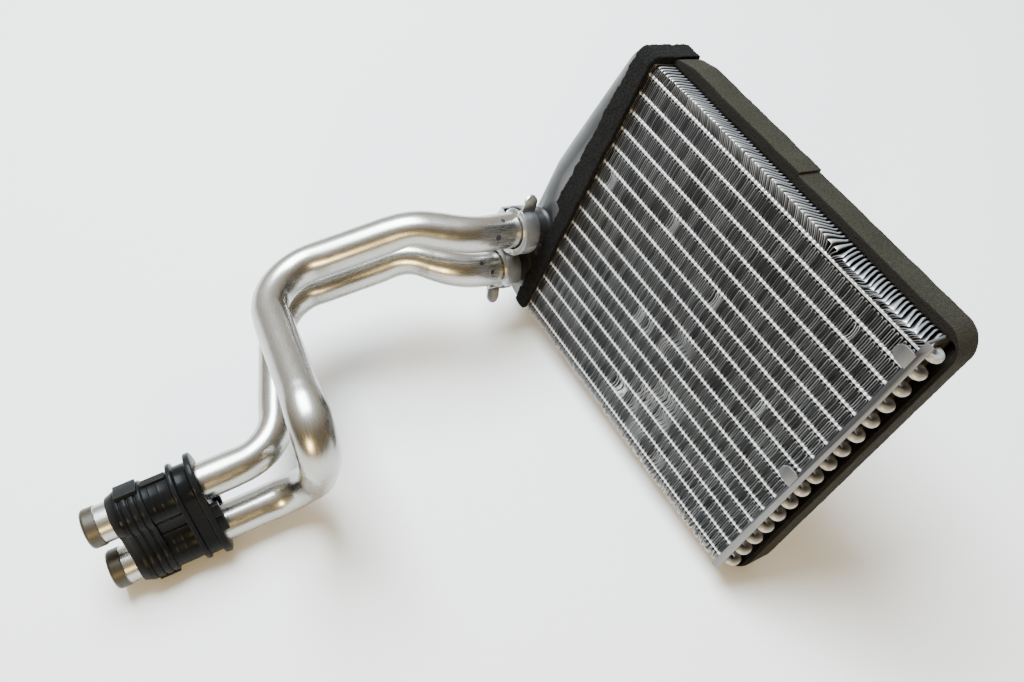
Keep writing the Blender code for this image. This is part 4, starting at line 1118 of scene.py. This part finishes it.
def pipe_mesh(which):
    """One bent pipe with its bead, bends that flatten and wrinkle a little, and a coated end."""
    route = ROUTES[which]
    core = core_matrix()
    connector = connector_matrix()
    shift = route_shift()
    joint_y = -pack.core_depth / 2 - tank.stub_length - GAP
    start = core @ Vector((tank_face() - tank.width / 2, joint_y, joint_heights()[which]))
    forward = (core.to_3x3() @ Vector((0, -1, 0))).normalized()
    across = route["side"] * pipes.connector_spacing / 2
    past = pipes.connector_length + PAST_CONNECTOR
    corners = [start, start + forward * route["first"]]
    corners += [Vector(point) * MM + shift for point in route["bends"]]
    corners += [connector @ Vector((x, 0, across)) for x in (-route["last"], past)]
    line, along = resampled(bent_path(corners, route["radii"], PATH_STEPS), PATH_SPACING)
    total = along[-1]
    tangents, sides_dir, ups = carried_frames(line, (0, 0, 1))
    curve = np.gradient(tangents, axis=0) / (along[1] - along[0])
    for axis in range(3):
        curve[:, axis] = np.convolve(np.pad(curve[:, axis], 6, "edge"), np.ones(13) / 13, "valid")
    bending = np.linalg.norm(curve, axis=1)
    inward = curve / (bending[:, None] + 1e-9)
    radius = pipes.diameter / 2
    sides = PIPE_SIDES
    around = np.arange(sides) / sides * 2 * math.pi

    profile = np.array((
        (0.0, pipes.bead_radius - 0.5 * MM), (0.5 * MM, pipes.bead_radius), (1.9 * MM, pipes.bead_radius),
        (2.4 * MM, pipes.bead_radius - 0.4 * MM), (2.6 * MM, radius + 0.35 * MM),
        (3.4 * MM, radius + 0.12 * MM), (5.5 * MM, radius),
        (total - 6.4 * MM, radius), (total - 6.0 * MM, pipes.sleeve_radius),
        (total - 1.3 * MM, pipes.sleeve_radius), (total - 0.35 * MM, radius + 0.05 * MM),
        (total, radius - 0.55 * MM),
    ))
    extra = np.concatenate([profile[:, 0], [total - 6.15 * MM]])
    steps = np.unique(np.round(np.concatenate([along, extra]), 7))

    def at_steps(values):
        return np.stack([np.interp(steps, along, values[:, axis]) for axis in range(values.shape[1])], 1)

    centre = at_steps(line)
    side = at_steps(sides_dir)
    up = at_steps(ups)
    toward = at_steps(inward)
    amount = np.clip(np.interp(steps, along, bending) * LARGE_BEND, 0, 1.6)
    turning = around[None, :, None]
    out = np.cos(turning) * side[:, None, :] + np.sin(turning) * up[:, None, :]
    facing = (out * toward[:, None, :]).sum(-1)
    flat = pipes.flattening * amount[:, None]
    size = np.interp(steps, profile[:, 0], profile[:, 1])[:, None] * np.ones_like(facing)
    size *= 1 - flat * facing ** 2 + flat * 0.45 * (1 - facing ** 2)
    tight = np.clip(amount - 1.1, 0, 0.5)[:, None] / 0.5
    inner_side = np.clip(facing, 0, 1) ** 3
    size -= tight * inner_side * 0.35 * MM * (0.6 + np.sin(steps / (1.15 * MM))[:, None])
    size += 0.05 * MM * amount[:, None] * inner_side * np.sin(steps / (1.7 * MM))[:, None]
    outer = centre[:, None, :] + out * size[:, :, None]

    bore_steps = steps[::-1]
    bore = centre[::-1, None, :] + out[::-1] * (np.minimum(size, radius)[::-1, :, None] - pipes.wall)
    points = np.concatenate([outer, bore])
    coat = np.concatenate([steps > total - 6.05 * MM, bore_steps > total - 6 * MM]).astype(float)
    down = np.concatenate([steps, bore_steps])
    round_part = np.abs(np.linspace(-1, 1, sides))
    down = np.repeat(down[:, None], sides, 1)
    uv = np.stack([down / 0.1, np.repeat(round_part[None, :], len(down), 0)], -1)
    ink = np.zeros(points.shape[:2])
    for distance, turn, size_mm in INK_DOTS[which]:
        turn = math.radians(turn)
        spot = core.to_3x3() @ Vector((math.cos(turn) * radius, 0, math.sin(turn) * radius))
        middle = start + forward * distance * MM + spot
        gap = np.linalg.norm(points - np.array(middle), axis=-1)
        ink = np.maximum(ink, np.clip(0.5 + (size_mm * MM - gap) / (6 * MM), 0, 1))
    return grid_mesh(f"pipe_{which}", points, closed_u=True, uv=uv, values={
        "coating": np.repeat(coat[:, None], sides, 1), "ink": ink})


# Connector

def twin_ring(x, radius, waist, steps=30):
    """Outline round two bores at one place along the connector."""
    half = pipes.connector_spacing / 2
    start = math.asin(min(waist, 1.0))
    points = []
    for end in (1, -1):
        for step in range(steps + 1):
            turn = start + (2 * math.pi - 2 * start) * step / steps
            reach = half + (0.8 * max(0.0, radius - pipes.band_radius) if end > 0 else 0)
            points.append((x, end * radius * math.sin(turn), end * reach - end * radius * math.cos(turn)))
    return points


def rounded_profile(corners, soft, steps=3):
    """A profile whose inner corners are rounded, as rows of place, radius and waist."""
    rows = [corners[0]]
    for before, corner, after in zip(corners, corners[1:], corners[2:]):
        back = Vector(before[:2]) - Vector(corner[:2])
        ahead = Vector(after[:2]) - Vector(corner[:2])
        cut = min(soft, back.length * 0.45, ahead.length * 0.45)
        first = Vector(corner[:2]) + back.normalized() * cut
        last = Vector(corner[:2]) + ahead.normalized() * cut
        for step in range(steps + 1):
            part = step / steps
            point = first.lerp(Vector(corner[:2]), part).lerp(Vector(corner[:2]).lerp(last, part), part)
            rows.append((point.x, point.y, corner[2]))
    rows.append(corners[-1])
    return rows


# Key blocks at the first lip: low and high place along, across and up, in mm
NEAR_KEYS = (((-3.4, 9.9, -8.2), (0.75, 12.9, -0.6)), ((-3.4, 9.9, 0.2), (0.75, 12.9, 7.4)))
# Waist of the outline at the lips, the body, the ribbed band and the end
LIP_WAIST, BODY_WAIST, BAND_WAIST, END_WAIST = 0.995, 0.74, 0.84, 0.8


def connector_mesh():
    """Moulding with two lips, a waisted body, a ribbed band, lock tabs and keys."""
    body = pipes.diameter / 2 + GAP + 1.5 * MM
    groove = body + 0.8 * MM
    lip = pipes.lip_radius
    second = pipes.second_lip_radius
    band = pipes.band_radius
    lips = ((0.0, lip - 1.4 * MM), (0.6, lip), (3.2, lip), (4.0, groove), (9.4, groove), (10.1, second),
            (12.0, second))
    corners = [(place * MM, radius, LIP_WAIST) for place, radius in lips]
    corners.append((12.5 * MM, body, BODY_WAIST))
    for rib in (17.0, 21.0):
        for place, lift in ((rib, 0.0), (rib + 0.4, 0.12 * MM), (rib + 0.8, 0.0)):
            corners.append((place * MM, body + lift, BODY_WAIST))
    corners.append((24.6 * MM, body, BODY_WAIST))
    for rib in (25.0, 28.4, 31.8):
        for place, cut in ((rib, 0.0), (rib + 2.2, 0.0), (rib + 2.5, 0.7 * MM), (rib + 3.1, 0.7 * MM)):
            corners.append((place * MM, band - cut, BAND_WAIST))
    corners += [(35.2 * MM, band, BAND_WAIST), (37.0 * MM, band - 0.1 * MM, BAND_WAIST),
                (pipes.connector_length, body - 0.5 * MM, END_WAIST)]
    matrix = connector_matrix()
    rows = [twin_ring(*row) for row in rounded_profile(corners, 0.45 * MM)]
    base = grid_mesh("connector", placed(np.array(rows), matrix))
    tools = []

    def add(low, high, bevel):
        tools.append((block(low, high, bevel * MM, matrix), "UNION"))

    far = pipes.connector_spacing / 2 + band
    start = pipes.connector_length - 15.0 * MM
    for end in (1, -1):
        low, high = sorted((end * (far - 3 * MM), end * (far + 1.2 * MM)))
        add((start, -4.5 * MM, low), (start + 10 * MM, 4.5 * MM, high), 0.35)
        low, high = sorted((end * (far - 4 * MM), end * (far + 0.2 * MM)))
        add((13.0 * MM, -2.0 * MM, low), (24.0 * MM, 2.0 * MM, high), 0.3)
    add((-3 * MM, -lip + 1.5 * MM, -9 * MM), (0.75 * MM, -lip + 6 * MM, -1.5 * MM), 0.4)
    for low, high in NEAR_KEYS:
        add([place * MM for place in low], [place * MM for place in high], 0.4)
    for low, high in ((-8.6, -6.4), (6.4, 8.6)):
        add((12.6 * MM, low * MM, -0.5 * MM), (37.0 * MM, high * MM, 0.5 * MM), 0.2)
    turn = matrix.to_3x3()
    bore = pipes.diameter / 2 + 0.25 * MM
    hollow = ((-MM, bore), (pipes.connector_length + MM, bore))
    for end in (1, -1):
        centre = matrix @ Vector((0, 0, end * pipes.connector_spacing / 2))
        cutter = turned_body(hollow, centre, turn @ Vector((1, 0, 0)), turn @ Vector((0, 1, 0)))
        tools.append((cutter, "DIFFERENCE"))
    return combine(base, tools)


# Foam

def roughened(points, height, seed, fine=2400.0):
    """Push each point of a grid in and out, as torn foam cells do, the same way in every run."""
    noise.seed_set(1)
    rows = [Vector(row) for row in points.reshape(-1, 3).tolist()]
    shifts = np.array([noise.noise_vector(row * fine + Vector((seed, 0, 0))) for row in rows])
    shifts += 0.8 * np.array([noise.noise_vector(row * 320.0 + Vector((0, seed, 0))) for row in rows])
    return points + shifts.reshape(points.shape) * height


def strip_section(width, thickness, across, deep, soft):
    """Outline of a strip: places across its width from 0 and through its thickness."""
    rows = [(x, 0.0) for x in np.linspace(soft, width - soft, across)]
    rows += [(width, t) for t in np.linspace(soft, thickness - soft, deep)]
    rows += [(x, thickness) for x in np.linspace(width - soft, soft, across)]
    rows += [(0.0, t) for t in np.linspace(thickness - soft, soft, deep)]
    return np.array(rows)


def corner_points(centre, radius, start, steps=14):
    """Quarter circle round a centre, clockwise from an angle."""
    return [
        (centre[0] + radius * math.cos(start - math.pi / 2 * step / steps),
         centre[1] + radius * math.sin(start - math.pi / 2 * step / steps))
        for step in range(steps + 1)
    ]


EDGE_JOINT = -1.0 * MM
TOP_STEPS = 104
# How far the strip swells into the channel behind the return bends
SWELLING = 4.6 * MM
END_ROUNDING = 4.0 * MM
FRONT_STANDOFF = 1.2 * MM
# The black strip narrows below this height over the upper joint
NARROW_ABOVE = 20 * MM


def wrapped_side(top, end, radius):
    """Points on one side of the wrapped strip: along the top, past the bends and back below."""
    corner = top - radius
    points = [(x, top) for x in np.linspace(EDGE_JOINT, end - radius, 116)[:-1]]
    points += corner_points((end - radius, corner), radius, math.pi / 2)
    points += [(end, z) for z in np.linspace(corner, -corner, 176)[1:-1]]
    points += corner_points((end - radius, -corner), radius, 0.0)
    points += [(x, -top) for x in np.linspace(end - radius, -pack.core_length / 2 - GAP, 226)[1:]]
    return np.array(points)


def edge_foam_mesh(which):
    """Olive strip on the long sides and past the return bends."""
    top = core_height() / 2 + GAP
    plate_far = pack.core_length / 2 + GAP + END_SHEET
    end = plate_far + BEND_PAST_PLATE + pack.bend_pitch / 2 + pack.tube_diameter / 2 + GAP
    start = -pack.core_length / 2 + foam.on_fins + GAP
    if which == "top":
        places = np.linspace(start, EDGE_JOINT - 0.25 * MM, TOP_STEPS)
        inner = np.stack([places, np.full(TOP_STEPS, top)], 1)
        tucked = np.clip((places - start) / (11 * MM), 0, 1) ** 0.6
        lift = (foam.edge_thickness + 0.5 * MM) * (0.45 + 0.55 * tucked)
        outer = inner + np.stack([0 * lift, lift], 1)
    else:
        inner = wrapped_side(top, end, foam.edge_inner_corner)
        high = top + foam.edge_thickness - 0.6 * MM
        outer = wrapped_side(high, end + foam.edge_stretched, foam.edge_outer_corner)
    along = distances(outer)
    section = strip_section(foam.edge_width, foam.edge_thickness, 14, 5, 0.35 * MM)
    wave = wander(along / MM, 3 if which == "top" else 4, 23.0)
    puff = wander(along / MM, 13, 9.0)
    rings = []
    for inside, outside, bend, lift in zip(inner, outer, wave, puff):
        ring = []
        for across, deep in section:
            share_deep = deep / foam.edge_thickness
            place = inside + (outside - inside) * share_deep * (1 + 0.03 * lift)
            y = pack.core_depth / 2 - across + 0.35 * MM * bend * (across / foam.edge_width)
            y += 0.5 * MM * share_deep * (across / foam.edge_width)
            swell = np.clip((inside[0] - end) / MM + 1, 0, 1) * np.clip(y / (4 * MM), 0, 1) * (1 - share_deep)
            ring.append((place[0] - SWELLING * swell, y, place[1]))
        rings.append(ring)
    points = roughened(placed(np.array(rings), core_matrix()), foam.roughness * 0.5, 11.0)
    face = np.clip((section[:, 0] / foam.edge_width - 0.985) / 0.01, 0, 1)
    return grid_mesh("edge_foam", points, values={"shaded": np.repeat(face[None, :], len(rings), 0)})


def tank_foam_mesh():
    """Black strip down the joint of tank and fins, folded over the top to the back."""
    half = core_height() / 2
    face = -pack.core_depth / 2 - FRONT_STANDOFF
    top = half + GAP
    high = foam.on_fins - pack.core_length / 2
    low = tank_face() - foam.on_tank
    narrow = tank_face() - tank.width / 2 + pipes.diameter / 2 + 2 * GAP
    run = [(face, -half), (face, top - 1.0 * MM), (face + 0.3 * MM, top - 0.3 * MM), (face + 1.0 * MM, top),
           (pack.core_depth / 2, top)]
    line, along = resampled(np.array([(y, z, 0.0) for y, z in run]), 0.55 * MM)
    narrowing = joint_heights()["upper"] + NARROW_ABOVE
    rings = []
    left_wave = wander(along / MM, 61, 6.0) * 0.35 + wander(along / MM, 62, 1.6) * 0.2
    right_wave = wander(along / MM, 63, 7.0) * 0.3 + wander(along / MM, 64, 1.4) * 0.18
    for index, (place, (ahead_y, ahead_z, _)) in enumerate(zip(line, directions(line))):
        above = np.clip((place[1] - narrowing) / (1.5 * MM), 0, 1) if place[0] <= face + MM else 1.0
        tilt = np.clip((place[1] - narrowing) / (top - narrowing), 0, 1) * 2.6 * MM
        left = narrow + (low + tilt - narrow) * above + left_wave[index] * MM
        right = high + right_wave[index] * MM * 0.7
        from_end = along[index]
        if from_end < END_ROUNDING:
            inset = END_ROUNDING - math.sqrt(max(0.0, END_ROUNDING ** 2 - (END_ROUNDING - from_end) ** 2))
            left += inset * 0.8
            right -= inset * 0.8
        folded = np.clip((place[0] - face) / MM, 0, 1)
        thick = foam.front_thickness * (0.55 + 0.45 * min(1.0, from_end / (2 * MM)) + 0.4 * folded)
        section = strip_section(right - left, thick, 16, 4, 0.3 * MM)
        y, z = place[:2]
        rings.append([(left + across, y - ahead_z * deep, z + ahead_y * deep) for across, deep in section])
    points = roughened(placed(np.array(rings), core_matrix()), foam.roughness * 1.2, 5.0, 1500.0)
    return grid_mesh("tank_foam", points)


# Operators

FLOOR_HALF = 12.0
# Colour and strength of the light from all round, away from the window and towards it
TOWARDS_WINDOW = (-0.62, 0.10, 0.78)
SKY = (((1.0, 0.74, 0.42), 0.42), ((1.0, 0.95, 0.88), 1.9))
LIGHT_TARGET = Vector((0.0, 0.0, 0.05))
CAMERA_PLACE = (239.0, -214.0, 440.8)
CAMERA_FORWARD = (-0.449, 0.271, -0.851)
CAMERA_RIGHT = (0.519, 0.855, -0.002)


class BuildStage(bpy.types.Operator):
    """Lay the pale floor, and set the lights and the camera"""

    bl_idname = "heater_core.stage"
    bl_label = "Stage"

    def execute(self, context):
        mesh = bpy.data.meshes.new("floor")
        corners = [(x * FLOOR_HALF, y * FLOOR_HALF, 0) for x, y in ((-1, -1), (1, -1), (1, 1), (-1, 1))]
        mesh.from_pydata(corners, [], [(0, 1, 2, 3)])
        mesh.materials.append(material("floor"))
        floor = linked("floor", mesh)

        world = bpy.data.worlds.new("studio")
        context.scene.world = world
        world.use_nodes = True
        work = Nodes(world.node_tree)
        towards = work.add("ShaderNodeVectorMath")
        towards.operation = "DOT_PRODUCT"
        work.feed(towards.inputs[0], work.add("ShaderNodeTexCoord").outputs["Generated"])
        work.feed(towards.inputs[1], TOWARDS_WINDOW)
        side = work.span(towards.outputs["Value"], 0.0, 0.85)
        (away, dim), (near, bright) = SKY
        lit = work.span(towards.outputs["Value"], 0.15, 0.95, dim * stage.ambient, bright * stage.ambient)
        work.fill(world.node_tree.nodes["Background"], {"Color": work.mix(side, away, near), "Strength": lit})

        for label, place, width, power, tint in (
            ("window", (-0.50, 0.06, 1.10), 0.6, stage.key_power, (0.84, 0.94, 1.0)),
            ("warm_fill", (0.9, -0.7, 0.55), 0.26, stage.fill_power, (1.0, 0.74, 0.34)),
        ):
            light = bpy.data.lights.new(label, "AREA")
            light.shape = "RECTANGLE"
            light.size = width
            light.size_y = width * 1.3
            light.energy = power
            light.color = tint
            lamp = linked(label, light)
            lamp.location = place
            lamp.rotation_euler = (LIGHT_TARGET - Vector(place)).to_track_quat("-Z", "Y").to_euler()

        camera = bpy.data.cameras.new("photo_view")
        camera.lens = stage.lens
        camera.sensor_width = 36.0
        camera.clip_start = 0.01
        viewer = linked("photo_view", camera)
        forward = Vector(CAMERA_FORWARD).normalized()
        right = Vector(CAMERA_RIGHT)
        right = (right - forward * right.dot(forward)).normalized()
        turn = Matrix((right, right.cross(forward), -forward)).transposed()
        place = Vector(CAMERA_PLACE) * MM + route_shift()
        viewer.matrix_world = Matrix.Translation(place) @ turn.to_4x4()
        context.scene.camera = viewer
        return {"FINISHED"}


class BuildFins(bpy.types.Operator):
    """Fold the fin strips, with the bent and crushed places of the used pack"""

    bl_idname = "heater_core.fins"
    bl_label = "Fin strips"

    def execute(self, context):
        for number in range(1, pack.rows + 2):
            name = f"folded_fins_{number:02d}"
            dress(name, fin_mesh(number), "fin", [f"fin_strip_{number:02d}"], 50.0)
        return {"FINISHED"}


class BuildTubes(bpy.types.Operator):
    """Make the hairpin tubes with flat legs and round return bends"""

    bl_idname = "heater_core.tubes"
    bl_label = "Hairpin tubes"

    def execute(self, context):
        for row in range(1, pack.rows + 1):
            name = f"flat_hairpin_{row:02d}"
            dress(name, hairpin_mesh(row), "tube", [f"hairpin_tube_{row:02d}"], 60.0)
        return {"FINISHED"}


class BuildPlates(bpy.types.Operator):
    """Make the end plate and give the header plate its finish"""

    bl_idname = "heater_core.plates"
    bl_label = "Plates"

    def execute(self, context):
        dress("end_plate_pressed", end_plate_mesh(), "plate", ["end_plate"], 30.0)
        paint_node("header_plate", "plate")
        return {"FINISHED"}


class BuildTank(bpy.types.Operator):
    """Press the tank, and set the seals and spring clips on its stubs"""

    bl_idname = "heater_core.tank"
    bl_label = "Tank and joints"

    def execute(self, context):
        dress("tank_pressed", tank_mesh(), "tank", ["tank"], 38.0)
        for which, opening_at in (("upper", 125.0), ("lower", 320.0)):
            mesh = clip_mesh(joint_heights()[which], math.radians(opening_at))
            dress(f"spring_clip_{which}", mesh, "clip", [f"joint_clip_{which}"], 35.0)
            paint_node(f"joint_seal_{which}", "rubber")
        return {"FINISHED"}


class BuildPipes(bpy.types.Operator):
    """Bend the two pipes from the tank to past the connector"""

    bl_idname = "heater_core.pipes"
    bl_label = "Pipes"

    def execute(self, context):
        for which in ("upper", "lower"):
            dress(f"bent_pipe_{which}", pipe_mesh(which), "pipe", [f"pipe_{which}"], 45.0)
        return {"FINISHED"}


class BuildConnector(bpy.types.Operator):
    """Mould the twin connector round both pipes"""

    bl_idname = "heater_core.connector"
    bl_label = "Connector"

    def execute(self, context):
        dress("twin_connector", connector_mesh(), "plastic", ["pipe_connector"], 38.0)
        return {"FINISHED"}


class BuildFoam(bpy.types.Operator):
    """Lay the olive edge strips and the black strip over the tank joint"""

    bl_idname = "heater_core.foam"
    bl_label = "Foam strips"

    def execute(self, context):
        for which in ("top", "wrap"):
            name, mesh, nodes = f"olive_strip_{which}", edge_foam_mesh(which), [f"edge_foam_{which}"]
            piece = dress(name, mesh, "olive_foam", nodes, 60.0)
        piece = dress("black_strip", tank_foam_mesh(), "black_foam", ["tank_foam"], 60.0)
        return {"FINISHED"}


def paint_node(name, key):
    """Give a CAD node that stays a better finish."""
    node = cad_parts[name]
    if node.material_slots:
        for one in node.material_slots:
            one.material = material(key)
    else:
        node.data.materials.append(material(key))


OPERATORS = (BuildStage, BuildFins, BuildTubes, BuildPlates, BuildTank, BuildPipes, BuildConnector, BuildFoam)


class CorePanel(bpy.types.Panel):
    """Lists the settings and the pieces"""

    bl_idname = "VIEW3D_PT_heater_core"
    bl_label = "Heater core"
    bl_space_type = "VIEW_3D"
    bl_region_type = "UI"
    bl_category = "Heater core"

    def draw(self, context):
        for operator in OPERATORS:
            self.layout.operator(operator.bl_idname)
        for name, group in GROUPS.items():
            box = self.layout.box()
            box.label(text=group.__doc__)
            for label in group.__annotations__:
                box.prop(getattr(context.scene, name), label)


CLASSES = (*GROUPS.values(), *OPERATORS, CorePanel)


def register():
    for one in CLASSES:
        bpy.utils.register_class(one)
    for name, group in GROUPS.items():
        setattr(bpy.types.Scene, name, bpy.props.PointerProperty(type=group))


def unregister():
    for name in GROUPS:
        delattr(bpy.types.Scene, name)
    for one in reversed(CLASSES):
        bpy.utils.unregister_class(one)


def main():
    register()
    for operator in OPERATORS:
        group, name = operator.bl_idname.split(".")
        getattr(getattr(bpy.ops, group), name)()


if __name__ == "__main__":
    main()
